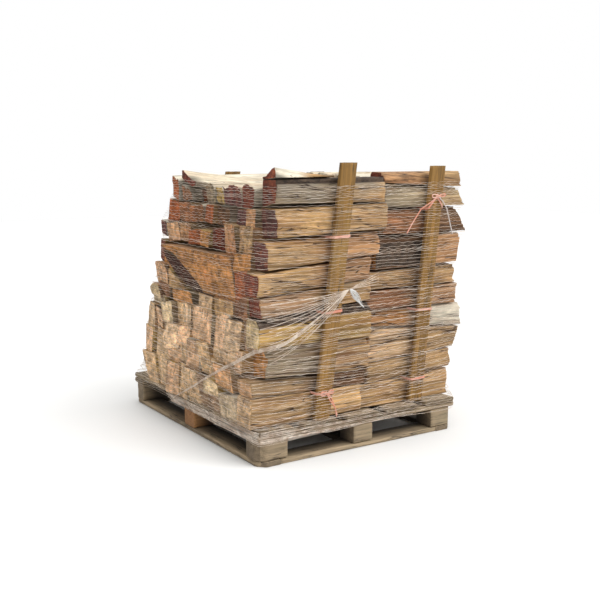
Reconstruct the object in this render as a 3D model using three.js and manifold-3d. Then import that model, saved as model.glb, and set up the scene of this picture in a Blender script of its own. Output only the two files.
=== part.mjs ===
// A pallet of split firewood: two rows of logs laid end to end on a perimeter-base block pallet,
// held by upright slats tied through the pile with twine, and wrapped in netting.
// Millimetres, +Z up. The origin is the centre of the pallet's underside.
// +X runs along the logs, and the front of the pile faces -Y.

import * as THREE from "three";
import { mergeVertices } from "three/addons/utils/BufferGeometryUtils.js";
import Module from "manifold-3d";

const wasm = await Module();
wasm.setup();

// Pallet
const PALLET_X = 1000;
const PALLET_Y = 1200;
const BOARD_THICK = 22;
const BLOCK_HIGH = 78;
const DECK_BOARDS = 5;
const DECK_BOARD_WIDE = 160;
const STRINGER_WIDE = 100;
const BASE_BOARD_WIDE = 102;
const BLOCK_X = [130, 95, 130];
const BLOCK_Y = [100, 95, 100];
const CORNER_CUT = 34;
const STRINGER_Z = BOARD_THICK + BLOCK_HIGH;
const DECK_Z = STRINGER_Z + BOARD_THICK;
const DECK_TOP = DECK_Z + BOARD_THICK;

// Pile: the clearance between neighbours, the overlap that joins logs in one solid, and the lean of the pile
const CLEARANCE = 0.5;
const OVERLAP = 0.6;
const LEAN = 0.115;
const BACK_SETBACK = 10;
const LEFT_X = -516;
const RIGHT_X = 500;
const RIGHT_LEAN = 0.06;
const MEETING_X = 10;
const MEETING_GAP = 3;
const FRONT_DEEP = 122;
const LOG_WIDE = 150;
const WEDGE_SHARE = 0.28;
const CUT_SHARE = 0.17;
const CUT_LARGE = 34;
const CUT_FRONT = 5;
const STAGGER = 16;
const TOP_DROP = 26;
const TIER_STARTS = [3, 6];

// Slats, twine and net
const SLAT_WIDE = 76;
const SLAT_THICK = 22;
const SLAT_GAP = 1.5;
const TWINE = 4;
const TWINE_GAP = 1.2;
const KNOT_RADIUS = 9;
const NET_STRAND = 3;
const NET_GAP = 3;
const NET_LOW = 112;
const NET_HIGH = 1085;
const NET_HOOPS = 7;
const NET_SIDES = 12;
const NET_ROPE = 14;
const NET_EDGE_STEPS = 5;
const NET_UPRIGHT_EVERY = 3;

// The back of the pile, as [z, y]. It bulges low down and draws in towards the top.
const BACK_PROFILE = [[144, 445], [330, 494], [470, 486], [620, 420], [1120, 325]];

// Each course from the deck up, as seen on the front of the pile: the front log's left and right end, the
// height of its top at those ends, how far its face stands back, how much of its top front edge is split
// away, and how far the top of its right end stands out past the foot.
const ROWS = [
  {
    name: "near",
    frontY: -574,
    seed: 11,
    midX: -220,
    topRise: -10,
    courses: [
      { left: -512, right: 15, top: [268, 256], back: 0, bevel: 8, rake: 0 },
      { left: -506, right: 38, top: [330, 312], back: 3, bevel: 6, rake: 0 },
      { left: -436, right: 63, top: [452, 450], back: 6, bevel: 32, rake: 0 },
      { left: -470, right: 63, top: [568, 598], back: 0, bevel: 30, rake: 0 },
      { left: -456, right: 65, top: [652, 690], back: 2, bevel: 6, rake: 0 },
      { left: -474, right: 65, top: [745, 790], back: 4, bevel: 8, rake: 0 },
      { left: -427, right: 108, top: [868, 892], back: 4, bevel: 14, rake: 0 },
      { left: -392, right: 141, top: [995, 1003], back: 0, bevel: 10, rake: 0 },
      { left: -389, right: 135, top: [1104, 1109], back: 2, bevel: 16, rake: 0 },
    ],
  },
  {
    name: "far",
    frontY: -550,
    seed: 29,
    midX: 300,
    topRise: -12,
    courses: [
      { left: 24, right: 514, top: [241, 258], back: 0, bevel: 8, rake: 0 },
      { left: 72, right: 530, top: [330, 352], back: 4, bevel: 6, rake: 0 },
      { left: 72, right: 562, top: [478, 446], back: 0, bevel: 14, rake: 28 },
      { left: 72, right: 594, top: [552, 546], back: 8, bevel: 18, rake: -16 },
      { left: 74, right: 564, top: [638, 642], back: 2, bevel: 6, rake: 0 },
      { left: 74, right: 552, top: [714, 726], back: 5, bevel: 8, rake: 0 },
      { left: 118, right: 577, top: [858, 862], back: 14, bevel: 20, rake: 14 },
      { left: 150, right: 578, top: [975, 980], back: 6, bevel: 6, rake: -72 },
      { left: 150, right: 563, top: [1082, 1060], back: 0, bevel: 6, rake: -34 },
      { left: 150, right: 574, top: [1128, 1130], back: 10, bevel: 10, rake: 0 },
    ],
  },
];

// The short split wedge that lies on the top front log of the near row: its two ends, and its outline at each
// as y and the height over that log.
const TOP_WEDGE = {
  ends: [-392, -120],
  outlines: [
    [[-566, 0], [-460, 0], [-530, 50], [-548, 46]],
    [[-552, 0], [-466, 0], [-520, 10], [-540, 9]],
  ],
};

// Each pair of slats: its middle at the deck, its lean, the top of its front and back slat, the row it stands
// against, and its ties. A tie lies on the top of a course. Its knot can stand above that, and its loose ends
// hang to [across, z].
const SLATS = [
  {
    x: -204,
    lean: 0.125,
    top: 1166,
    backTop: 1122,
    row: 0,
    ties: [
      { place: "low", course: 0, knot: 0, ends: [[46, 152]] },
      { place: "mid", course: 3, knot: 0, ends: [] },
      { place: "high", course: 6, knot: 0, ends: [] },
    ],
  },
  {
    x: 300,
    lean: 0.108,
    top: 1152,
    backTop: 1118,
    row: 1,
    ties: [
      { place: "low", course: 0, knot: 0, ends: [] },
      { place: "mid", course: 3, knot: 0, ends: [] },
      { place: "high", course: 7, knot: 52, ends: [[-152, 872], [92, 862]] },
    ],
  },
];

// The gathered edge of the net, from the left side round the near corner to its knot on the front, then the
// loose tail below the knot, each as [x, y, z] drawn out to the net.
const NET_EDGE = [
  [-505, 170, 140],
  [-490, -250, 310],
  [-470, -575, 450],
  [-390, -595, 464],
  [-62, -600, 672],
];
const NET_TAIL = [[-62, -600, 672], [-3, -598, 604]];

const COLOURS = {
  log: 0xc79f70,
  pallet: 0xa58f6c,
  slat: 0xc49a4e,
  twine: 0xe8a58c,
  net: 0xe9e4dc,
};

function material(name) {
  return new THREE.MeshStandardMaterial({ color: COLOURS[name], roughness: 0.85, metalness: 0 });
}

const firewoodPallet = new THREE.Group();

function addMesh(name, geometry, finish) {
  const mesh = new THREE.Mesh(geometry, material(finish));
  mesh.name = name;
  firewoodPallet.add(mesh);
}

// A repeatable stream of numbers from 0 to 1.
function randomStream(seed) {
  let state = seed;
  return () => {
    state = (state * 1664525 + 1013904223) % 4294967296;
    return state / 4294967296;
  };
}

// Solids for joining and cutting

function toSolid(geometry) {
  const bare = geometry.clone();
  bare.deleteAttribute("normal");
  bare.deleteAttribute("uv");
  const merged = mergeVertices(bare, 1e-3);
  return new wasm.Manifold(
    new wasm.Mesh({
      numProp: 3,
      vertProperties: merged.attributes.position.array,
      triVerts: new Uint32Array(merged.index.array),
    }),
  );
}

function faceted(positions, index) {
  const geometry = new THREE.BufferGeometry();
  geometry.setAttribute("position", new THREE.Float32BufferAttribute(positions, 3));
  geometry.setIndex(index);
  const flat = geometry.toNonIndexed();
  flat.computeVertexNormals();
  return flat;
}

function toGeometry(solid) {
  const { vertProperties, triVerts } = solid.getMesh();
  return faceted(vertProperties, Array.from(triVerts));
}

function join(geometries) {
  return geometries.map(toSolid).reduce((whole, solid) => whole.add(solid));
}

// A closed solid through rings of points, each ring turning left as seen from the next one.
// An open run has flat ends, and a closed run joins its last ring to its first.
function loft(rings, closed = false) {
  const sides = rings[0].length;
  const positions = rings.flat().flatMap((point) => point.toArray());
  const index = [];
  const runs = closed ? rings.length : rings.length - 1;
  for (let r = 0; r < runs; r++) {
    const here = r * sides;
    const there = ((r + 1) % rings.length) * sides;
    for (let i = 0; i < sides; i++) {
      const next = (i + 1) % sides;
      index.push(here + i, here + next, there + next);
      index.push(here + i, there + next, there + i);
    }
  }
  const last = (rings.length - 1) * sides;
  for (let i = 1; i < sides - 1 && !closed; i++) {
    index.push(0, i + 1, i);
    index.push(last, last + i, last + i + 1);
  }
  return faceted(positions, index);
}

// A square strand along points that turn left round the object.
function strand(points, thick, closed = false) {
  const count = points.length;
  const way = (i, j) => points[j].clone().sub(points[i]).normalize();
  const rings = points.map((point, i) => {
    const before = closed || i > 0 ? way((i + count - 1) % count, i) : way(i, i + 1);
    const after = closed || i < count - 1 ? way(i, (i + 1) % count) : before;
    const along = before.clone().add(after).normalize();
    const out = new THREE.Vector3(along.y, -along.x, 0).normalize();
    const up = out.clone().cross(along);
    const reach = thick / 2 / along.dot(after);
    const corner = (side, height) =>
      point.clone().addScaledVector(out, side * reach).addScaledVector(up, (height * thick) / 2);
    return [corner(1, -1), corner(-1, -1), corner(-1, 1), corner(1, 1)];
  });
  return loft(rings, closed);
}

// A straight square rod from one point to another.
function rod(from, to, thick) {
  const along = to.clone().sub(from);
  const geometry = new THREE.BoxGeometry(thick, thick, along.length());
  const middle = from.clone().addScaledVector(along, 0.5);
  const turn = new THREE.Quaternion().setFromUnitVectors(new THREE.Vector3(0, 0, 1), along.normalize());
  return geometry.applyQuaternion(turn).translate(...middle.toArray());
}

// Pallet

// A flat board or block with its low corner at x, y, z. cuts names the corners that are cut off, as "-+" does
// the one at low x and high y.
function board(x, y, z, wide, deep, high, cuts = []) {
  const corners = [["-", "-"], ["+", "-"], ["+", "+"], ["-", "+"]];
  const outline = new THREE.Shape();
  corners.forEach(([sideX, sideY], i) => {
    const px = sideX === "-" ? 0 : wide;
    const py = sideY === "-" ? 0 : deep;
    const inX = sideX === "-" ? CORNER_CUT : -CORNER_CUT;
    const inY = sideY === "-" ? CORNER_CUT : -CORNER_CUT;
    const alongX = [px + inX, py];
    const alongY = [px, py + inY];
    const points = cuts.includes(sideX + sideY)
      ? i % 2 === 0 ? [alongY, alongX] : [alongX, alongY]
      : [[px, py]];
    points.forEach(([u, v], k) => (i === 0 && k === 0 ? outline.moveTo(u, v) : outline.lineTo(u, v)));
  });
  outline.closePath();
  return new THREE.ExtrudeGeometry(outline, { depth: high, bevelEnabled: false }).translate(x, y, z);
}

function addPallet() {
  const left = -PALLET_X / 2;
  const front = -PALLET_Y / 2;
  const sideX = (i) => (i === 0 ? left : i === 1 ? -BLOCK_X[1] / 2 : -left - BLOCK_X[2]);
  const sideY = (j) => (j === 0 ? front : j === 1 ? -BLOCK_Y[1] / 2 : -front - BLOCK_Y[2]);

  const pitch = (PALLET_X - DECK_BOARD_WIDE) / (DECK_BOARDS - 1);
  for (let i = 0; i < DECK_BOARDS; i++) {
    const geometry = board(left + i * pitch, front, DECK_Z, DECK_BOARD_WIDE, PALLET_Y, BOARD_THICK);
    addMesh(`deck_board_${i + 1}`, geometry, "pallet");
  }

  ["front", "middle", "back"].forEach((place, j) => {
    const y = j === 0 ? front : j === 1 ? -STRINGER_WIDE / 2 : -front - STRINGER_WIDE;
    addMesh(`stringer_${place}`, board(left, y, STRINGER_Z, PALLET_X, STRINGER_WIDE, BOARD_THICK), "pallet");
    ["left", "centre", "right"].forEach((side, i) => {
      const cuts = i !== 1 && j !== 1 ? [(i === 0 ? "-" : "+") + (j === 0 ? "-" : "+")] : [];
      const block = board(sideX(i), sideY(j), BOARD_THICK, BLOCK_X[i], BLOCK_Y[j], BLOCK_HIGH, cuts);
      addMesh(`block_${place}_${side}`, block, "pallet");
    });
  });

  const innerX = PALLET_X - 2 * BASE_BOARD_WIDE;
  const innerY = PALLET_Y - 2 * BASE_BOARD_WIDE;
  const inner = left + BASE_BOARD_WIDE;
  const base = {
    left: board(left, front, 0, BASE_BOARD_WIDE, PALLET_Y, BOARD_THICK, ["--", "-+"]),
    right: board(-inner, front, 0, BASE_BOARD_WIDE, PALLET_Y, BOARD_THICK, ["+-", "++"]),
    front: board(inner, front, 0, innerX, BASE_BOARD_WIDE, BOARD_THICK),
    back: board(inner, -front - BASE_BOARD_WIDE, 0, innerX, BASE_BOARD_WIDE, BOARD_THICK),
    centre: board(-BASE_BOARD_WIDE / 2, front + BASE_BOARD_WIDE, 0, BASE_BOARD_WIDE, innerY, BOARD_THICK),
  };
  for (const [place, geometry] of Object.entries(base)) addMesh(`base_board_${place}`, geometry, "pallet");
}

// Logs

// Where the near row's logs end and the far row's begin, at a height.
function meetingX(z) {
  return MEETING_X + LEAN * (z - DECK_TOP);
}

function lineThrough([z0, y0], [z1, y1], z) {
  return y0 + ((y1 - y0) * (z - z0)) / (z1 - z0);
}

function backY(z) {
  const above = BACK_PROFILE.findIndex(([height]) => height >= z);
  const i = above < 0 ? BACK_PROFILE.length - 1 : Math.max(1, above);
  return lineThrough(BACK_PROFILE[i - 1], BACK_PROFILE[i], z);
}

// The lower boundary of a course, as a height at x: the course below's top, or the deck.
function boundary(row, course) {
  if (course < 0) return () => DECK_TOP;
  const { left, right, top } = row.courses[course];
  return (x) => top[0] + ((top[1] - top[0]) * (x - left)) / (right - left);
}

// Behind the front log, the courses lie level at the height of its middle.
function innerHeight(row, course) {
  return boundary(row, course)(row.midX);
}

// The cells of one course behind its front log, from front to back, some parted slantwise in two wedges:
// the y of the front and rear side at the bottom and at the top, and whether each side joins a neighbour.
function courseCells(row, course, random) {
  const start = row.frontY + FRONT_DEEP;
  const end = [course - 1, course].map((k) => backY(innerHeight(row, k)) - BACK_SETBACK * (0.3 + random()));
  const count = Math.round((Math.min(...end) - start) / LOG_WIDE);
  const splits = [[start, start]];
  for (let j = 1; j < count; j++) {
    const shift = (random() - 0.5) * 0.45 * LOG_WIDE;
    const slant = (random() - 0.5) * 0.3 * LOG_WIDE;
    const even = end.map((y) => start + ((y - start) * j) / count);
    splits.push([even[0] + shift - slant, even[1] + shift + slant]);
  }
  splits.push(end);

  return splits.slice(1).flatMap((rear, j) => {
    const front = splits[j];
    const joined = [j > 0, j < count - 1];
    if (random() > WEDGE_SHARE) return [{ front, rear, joined }];
    const thin = 0.22 * (rear[0] - front[0]);
    const rising = random() < 0.5;
    const cut = rising ? [front[0] + thin, rear[1] - thin] : [rear[0] - thin, front[1] + thin];
    return [
      { front, rear: cut, joined: [joined[0], true] },
      { front: cut, rear, joined: [true, joined[1]] },
    ];
  });
}

// Takes the corners of an outline off, by the cut given for each.
function cutCorners(corners, cuts) {
  const count = corners.length;
  return corners.flatMap((corner, i) => {
    if (cuts[i] === 0) return [corner];
    const neighbours = [corners[(i + count - 1) % count], corners[(i + 1) % count]];
    return neighbours.map((other) => {
      const side = corner.distanceTo(other);
      return corner.clone().lerp(other, Math.min(cuts[i], 0.4 * side) / side);
    });
  });
}

// One log between two ends. Its sides are drawn in by the clearance, or out by the overlap where they join
// a neighbour. joined tells that for the front, rear, bottom and top side.
function logGeometry({ front, rear, bottom, top, joined, cuts, ends, rake = 0 }) {
  const grow = joined.map((side) => (side ? OVERLAP : -CLEARANCE));
  const outlines = ends.map((end, i) => {
    const lowX = end - (i * rake) / 2;
    const highX = end + (i * rake) / 2;
    const lowZ = bottom(lowX) - grow[2];
    const highZ = top(highX) + grow[3];
    const corners = [
      new THREE.Vector3(lowX, front[0] - grow[0], lowZ),
      new THREE.Vector3(lowX, rear[0] + grow[1], lowZ),
      new THREE.Vector3(highX, rear[1] + grow[1], highZ),
      new THREE.Vector3(highX, front[1] - grow[0], highZ),
    ];
    return cutCorners(corners, cuts);
  });
  return loft(outlines);
}

// The left and right end of a log behind the front, between two heights. The outer ends are staggered.
function rowEnds(row, lowZ, highZ, stagger) {
  const rise = 0.5 * (lowZ + highZ) - DECK_TOP;
  if (row.name === "near") return [LEFT_X + LEAN * rise + stagger, meetingX(lowZ) - MEETING_GAP];
  return [meetingX(highZ) + MEETING_GAP, RIGHT_X + RIGHT_LEAN * rise - stagger];
}

// The log that shows on the front of a course.
function frontLog(row, k) {
  const course = row.courses[k];
  const front = row.frontY + course.back;
  const rear = row.frontY + FRONT_DEEP;
  return logGeometry({
    front: [front, front],
    rear: [rear, rear],
    bottom: boundary(row, k - 1),
    top: boundary(row, k),
    joined: [false, false, false, false],
    cuts: [CUT_FRONT, CUT_FRONT, CUT_FRONT, course.bevel],
    ends: [course.left, course.right],
    rake: course.rake,
  });
}

// The logs behind the front log of a course, which join those of the same tier.
function innerLogs(row, k, random) {
  const lowZ = innerHeight(row, k - 1);
  const highZ = innerHeight(row, k);
  const last = k === row.courses.length - 1;
  const joinsBelow = k > 0 && !TIER_STARTS.includes(k);
  const joinsAbove = !last && !TIER_STARTS.includes(k + 1);
  return courseCells(row, k, random).map(({ front, rear, joined }) => {
    const ends = rowEnds(row, lowZ, highZ, STAGGER * random());
    const rise = last ? row.topRise - TOP_DROP * random() : 0;
    const cuts = [0, 1, 2, 3].map(() => (random() < CUT_SHARE ? CUT_LARGE * (0.5 + 0.5 * random()) : 0));
    const bottom = () => lowZ;
    const top = () => highZ + rise;
    return logGeometry({ front, rear, bottom, top, joined: [...joined, joinsBelow, joinsAbove], cuts, ends });
  });
}

function topWedge() {
  const near = ROWS[0];
  const under = boundary(near, near.courses.length - 1);
  const rings = TOP_WEDGE.ends.map((x, i) =>
    TOP_WEDGE.outlines[i].map(([y, rise]) => new THREE.Vector3(x, y, under(x) + CLEARANCE + rise)),
  );
  return loft(rings);
}

function addLogs() {
  const channels = twineChannels();
  const clear = (solid) => toGeometry(channels.reduce((rest, channel) => rest.subtract(channel), solid));
  for (const row of ROWS) {
    const random = randomStream(row.seed);
    const tiers = [[], [], []];
    row.courses.forEach((_, k) => {
      addMesh(`log_${row.name}_${k + 1}`, clear(toSolid(frontLog(row, k))), "log");
      const tier = TIER_STARTS.filter((start) => k >= start).length;
      tiers[tier].push(...innerLogs(row, k, random));
    });
    ["lower", "middle", "upper"].forEach((place, i) => {
      addMesh(`logs_${row.name}_${place}`, clear(join(tiers[i])), "log");
    });
  }
  addMesh(`log_near_${ROWS[0].courses.length + 1}`, topWedge(), "log");
}

// Slats

function slatX(slat, z) {
  return slat.x + slat.lean * (z - DECK_TOP);
}

function slatFrontY(slat) {
  return ROWS[slat.row].frontY - SLAT_GAP - SLAT_THICK;
}

// A back slat rests on the back of the pile where it bulges and at its top.
function slatBackY(z) {
  return lineThrough(BACK_PROFILE[2], BACK_PROFILE[4], z) + SLAT_GAP;
}

// A slat leans with the pile. face gives its front side at a height.
function slatGeometry(slat, top, face) {
  const section = (z) => {
    const x = slatX(slat, z);
    const y = face(z);
    const half = SLAT_WIDE / 2;
    const corners = [[x - half, y], [x + half, y], [x + half, y + SLAT_THICK], [x - half, y + SLAT_THICK]];
    return corners.map(([u, v]) => new THREE.Vector3(u, v, z));
  };
  return loft([section(DECK_TOP), section(top)]);
}

function addSlats() {
  SLATS.forEach((slat, i) => {
    addMesh(`slat_front_${i + 1}`, slatGeometry(slat, slat.top, () => slatFrontY(slat)), "slat");
    addMesh(`slat_back_${i + 1}`, slatGeometry(slat, slat.backTop, slatBackY), "slat");
  });
}

// Twine

// The corners of a tie's loop: along the front slat, and back through the pile to the slat behind it.
function tieCorners(slat, tie) {
  const top = boundary(ROWS[slat.row], tie.course);
  const centre = slatX(slat, top(slat.x));
  const reach = SLAT_WIDE / 2 + TWINE;
  const height = (x) => top(x) - CLEARANCE - TWINE;
  const front = slatFrontY(slat) - TWINE / 2 - TWINE_GAP;
  const rear = slatBackY(height(centre)) + SLAT_THICK + TWINE;
  const places = [[-reach, front], [reach, front], [reach, rear], [-reach, rear]];
  return places.map(([across, y]) => new THREE.Vector3(centre + across, y, height(centre + across)));
}

// The ways that the twine takes through the pile.
function twineChannels() {
  const lift = new THREE.Vector3(0, 0, TWINE / 4);
  return SLATS.flatMap((slat) =>
    slat.ties.flatMap((tie) => {
      const [left, right, rearRight, rearLeft] = tieCorners(slat, tie).map((corner) => corner.add(lift));
      return [rod(left, rearLeft, 2 * TWINE), rod(right, rearRight, 2 * TWINE)].map(toSolid);
    }),
  );
}

// A tie: its loop, and a knot with loose ends where it has them.
function tieGeometry(slat, tie) {
  const [left, right, rearRight, rearLeft] = tieCorners(slat, tie);
  const knot = left.clone().lerp(right, 0.5).add(new THREE.Vector3(slat.lean * tie.knot, 0, tie.knot));
  const pieces = [strand([left, knot, right, rearRight, rearLeft], TWINE, true)];
  if (tie.ends.length > 0) {
    const bead = new THREE.IcosahedronGeometry(KNOT_RADIUS, 0);
    pieces.push(bead.translate(knot.x, knot.y + TWINE / 2 - KNOT_RADIUS, knot.z));
  }
  for (const [across, z] of tie.ends) {
    const from = new THREE.Vector3(knot.x, knot.y - TWINE, knot.z);
    pieces.push(rod(from, new THREE.Vector3(slatX(slat, knot.z) + across, from.y, z), TWINE));
  }
  return pieces.length > 1 ? toGeometry(join(pieces)) : pieces[0];
}

function addTwine() {
  SLATS.forEach((slat, i) => {
    for (const tie of slat.ties) addMesh(`twine_${i + 1}_${tie.place}`, tieGeometry(slat, tie), "twine");
  });
}

// Net

const NET_NORMALS = Array.from({ length: NET_SIDES }, (_, i) => {
  const angle = (2 * Math.PI * i) / NET_SIDES;
  return new THREE.Vector3(Math.cos(angle), Math.sin(angle), 0);
});

// The heights of the hoops: the edge of the deck, its top, and even steps up the pile.
function hoopHeights() {
  const start = DECK_TOP + NET_GAP;
  const step = (NET_HIGH - start) / NET_HOOPS;
  return [NET_LOW, ...Array.from({ length: NET_HOOPS + 1 }, (_, i) => start + i * step)];
}

// The edges of every mesh so far, as pairs of points.
function allEdges() {
  return firewoodPallet.children.flatMap(({ geometry }) => {
    const { position } = geometry.attributes;
    const points = Array.from({ length: position.count }, (_, i) =>
      new THREE.Vector3().fromBufferAttribute(position, i),
    );
    return points.map((point, i) => [point, points[i % 3 === 2 ? i - 2 : i + 1]]);
  });
}

// How far a hoop stands out to each side: past the corners between the hoops next to it, and past the
// edges that cross its own height.
function hoopReach(edges, low, z, high) {
  const reach = NET_NORMALS.map(() => 0);
  const hold = (point) => {
    NET_NORMALS.forEach((n, i) => {
      reach[i] = Math.max(reach[i], point.dot(n) + NET_GAP);
    });
  };
  for (const [a, b] of edges) {
    if (a.z >= low && a.z <= high) hold(a);
    if ((a.z - z) * (b.z - z) < 0) hold(a.clone().lerp(b, (z - a.z) / (b.z - a.z)));
  }
  return reach;
}

// The corners of a hoop, where its sides meet.
function hoopCorners(reach, z) {
  return NET_NORMALS.map((n, i) => {
    const next = (i + 1) % NET_SIDES;
    const m = NET_NORMALS[next];
    const det = n.x * m.y - n.y * m.x;
    const x = (reach[i] * m.y - reach[next] * n.y) / det;
    const y = (n.x * reach[next] - m.x * reach[i]) / det;
    return new THREE.Vector3(x, y, z);
  });
}

// Draws a path out from the middle of the pile to just outside the net, in steps that follow its corners.
function alongNet(path, hoops, out) {
  const place = ([x, y, z]) => {
    const above = Math.max(1, hoops.findIndex((hoop) => hoop.z >= z));
    const [low, high] = [hoops[above - 1], hoops[above]];
    const share = (z - low.z) / (high.z - low.z);
    const scales = NET_NORMALS.map((n, i) => {
      const reach = low.reach[i] + (high.reach[i] - low.reach[i]) * share + out;
      const toward = n.x * x + n.y * y;
      return toward > 0 ? reach / toward : Infinity;
    });
    const scale = Math.min(...scales);
    return new THREE.Vector3(x * scale, y * scale, z);
  };
  const part = (from, to, share) => from.map((value, axis) => value + (to[axis] - value) * share);
  const points = path.slice(1).flatMap((to, j) =>
    Array.from({ length: NET_EDGE_STEPS }, (_, s) => part(path[j], to, s / NET_EDGE_STEPS)),
  );
  return [...points, path.at(-1)].map(place);
}

function addNet() {
  const edges = allEdges();
  const heights = hoopHeights();
  const hoops = heights.map((z, i) => {
    const low = heights[Math.max(0, i - 1)];
    const high = heights[Math.min(heights.length - 1, i + 1)];
    const reach = hoopReach(edges, low, z, high);
    return { z, reach, corners: hoopCorners(reach, z) };
  });
  const pieces = hoops.map(({ corners }) => strand(corners, NET_STRAND, true));
  const middle = ({ corners }, side) => corners[side].clone().lerp(corners[(side + 1) % NET_SIDES], 0.5);
  hoops.slice(1).forEach((hoop, i) => {
    for (let side = i % NET_UPRIGHT_EVERY; side < NET_SIDES; side += NET_UPRIGHT_EVERY) {
      pieces.push(rod(middle(hoops[i], side), middle(hoop, side), 0.7 * NET_STRAND));
    }
  });
  const out = NET_ROPE / 2;
  pieces.push(strand(alongNet(NET_EDGE, hoops, out), NET_ROPE));
  pieces.push(strand(alongNet(NET_TAIL, hoops, out), NET_ROPE));
  addMesh("net", toGeometry(join(pieces)), "net");
}

addPallet();
addLogs();
addSlats();
addTwine();
addNet();

export default firewoodPallet;
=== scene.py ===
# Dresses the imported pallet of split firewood: every log, board, slat, tie and net strand as a detailed mesh.
# Lengths in this script are millimetres until a mesh is made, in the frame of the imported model.
import itertools
import math
from dataclasses import dataclass

import bpy
import numpy as np
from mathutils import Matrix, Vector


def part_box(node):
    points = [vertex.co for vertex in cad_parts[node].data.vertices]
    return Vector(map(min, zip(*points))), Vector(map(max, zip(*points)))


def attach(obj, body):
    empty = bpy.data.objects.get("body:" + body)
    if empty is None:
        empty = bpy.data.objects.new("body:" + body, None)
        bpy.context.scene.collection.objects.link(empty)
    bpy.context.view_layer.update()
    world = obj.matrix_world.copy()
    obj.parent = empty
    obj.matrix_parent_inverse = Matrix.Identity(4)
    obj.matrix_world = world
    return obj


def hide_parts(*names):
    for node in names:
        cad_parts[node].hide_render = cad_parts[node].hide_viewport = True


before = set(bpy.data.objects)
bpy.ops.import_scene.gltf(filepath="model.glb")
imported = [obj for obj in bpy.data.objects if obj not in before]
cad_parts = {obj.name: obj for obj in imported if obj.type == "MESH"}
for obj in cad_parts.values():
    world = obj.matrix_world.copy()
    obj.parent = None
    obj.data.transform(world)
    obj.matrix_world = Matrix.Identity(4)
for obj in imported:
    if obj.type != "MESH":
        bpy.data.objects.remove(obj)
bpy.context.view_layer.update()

MM = 0.001

# Camera, fitted to the pallet's corners in a 600 by 600 frame
CAMERA_PLACE = (-2.18586, -3.46635, 1.17351)
CAMERA_AZIMUTH = 33.167
CAMERA_ELEVATION = 8.802
CAMERA_LENS = 54.0
CAMERA_SENSOR = 36.0

# The layout of the pile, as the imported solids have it
DECK_TOP = 144
PALLET_HALF = (500, 600)
PALLET_CORNER = 34
CLEARANCE = 0.5
LEAN = 0.115
BACK_SETBACK = 10
LEFT_X = -516
RIGHT_X = 500
RIGHT_LEAN = 0.06
MEETING_X = 10
MEETING_GAP = 3
FRONT_DEEP = 122
LOG_WIDE = 150
SPLIT_SHIFT = 0.45
SPLIT_SLANT = 0.3
WEDGE_SHARE = 0.28
WEDGE_THIN = 0.22
CUT_SHARE = 0.17
CUT_LARGE = 34
CUT_FRONT = 5
STAGGER = 16
TOP_DROP = 26
TIER_STARTS = (3, 6)
TIERS = ("lower", "middle", "upper")
BACK_PROFILE = ((144, 445), (330, 494), (470, 486), (620, 420), (1120, 325))

# Colours of split faces, bark and sawn ends, as sRGB
TONES = {
    "tan": (200, 160, 108),
    "sand": (188, 152, 106),
    "pink": (190, 144, 100),
    "grey": (160, 142, 112),
    "ash": (160, 144, 118),
    "straw": (204, 168, 98),
    "cream": (234, 224, 202),
    "chalk": (204, 194, 176),
    "ivory": (222, 208, 182),
    "rust": (152, 104, 70),
    "brown": (122, 86, 56),
    "red": (120, 54, 34),
    "orange": (166, 90, 46),
    "purple": (106, 64, 58),
    # dark is given to ends set back in gaps, and is partly painted shade of those gaps
    "dark": (84, 48, 34),
    "beige": (208, 172, 130),
    "peach": (214, 168, 124),
    "ochre": (204, 144, 82),
    "wheat": (226, 198, 150),
}
FACE_TONES = ("tan", "sand", "pink", "tan", "straw", "sand", "grey", "cream")
TOP_TONES = ("cream", "ivory", "chalk")
LIGHT_ENDS = ("beige", "peach", "wheat", "ochre", "tan", "beige")
DARK_ENDS = ("rust", "orange", "purple", "brown", "ochre", "red", "tan")

# Each course from the deck up: the front log's left and right end, the height of its top at them, its
# setback, bevel and rake as in the solids, then the tones of its left half, right half and end, and where
# it has bark.
ROWS = (
    {
        "name": "near", "front": -574, "mid": -220,
        "courses": (
            (-512, 15, 268, 256, 0, 8, 0, "sand", "tan", "beige", ""),
            (-506, 38, 330, 312, 3, 6, 0, "sand", "brown", "peach", ""),
            (-436, 63, 452, 450, 6, 32, 0, "ash", "sand", "ochre", ""),
            (-470, 63, 568, 598, 0, 30, 0, "straw", "straw", "wheat", "top"),
            (-456, 65, 652, 690, 2, 6, 0, "pink", "tan", "red", ""),
            (-474, 65, 745, 790, 4, 8, 0, "tan", "pink", "red", ""),
            (-427, 108, 868, 892, 4, 14, 0, "sand", "pink", "purple", ""),
            (-392, 141, 995, 1003, 0, 10, 0, "tan", "sand", "purple", ""),
            (-389, 135, 1104, 1109, 2, 16, 0, "grey", "tan", "red", "top"),
        ),
    },
    {
        "name": "far", "front": -550, "mid": 300,
        "courses": (
            (24, 514, 241, 258, 0, 8, 0, "tan", "tan", "beige", ""),
            (72, 530, 330, 352, 4, 6, 0, "sand", "tan", "beige", ""),
            (72, 562, 478, 446, 0, 14, 28, "beige", "sand", "tan", ""),
            (72, 594, 552, 546, 8, 18, -16, "ochre", "cream", "wheat", ""),
            (74, 564, 638, 642, 2, 6, 0, "rust", "pink", "ochre", ""),
            (74, 552, 714, 726, 5, 8, 0, "sand", "sand", "beige", ""),
            (118, 577, 858, 862, 14, 20, 14, "brown", "pink", "ochre", "front left"),
            # This course's brown right half is partly painted shade of the dark notch under that end.
            (150, 578, 975, 980, 6, 6, -72, "rust", "brown", "beige", ""),
            (150, 563, 1082, 1060, 0, 6, -34, "grey", "wheat", "wheat", ""),
            (150, 574, 1128, 1130, 10, 10, 0, "pink", "sand", "red", ""),
        ),
    },
)
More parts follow.
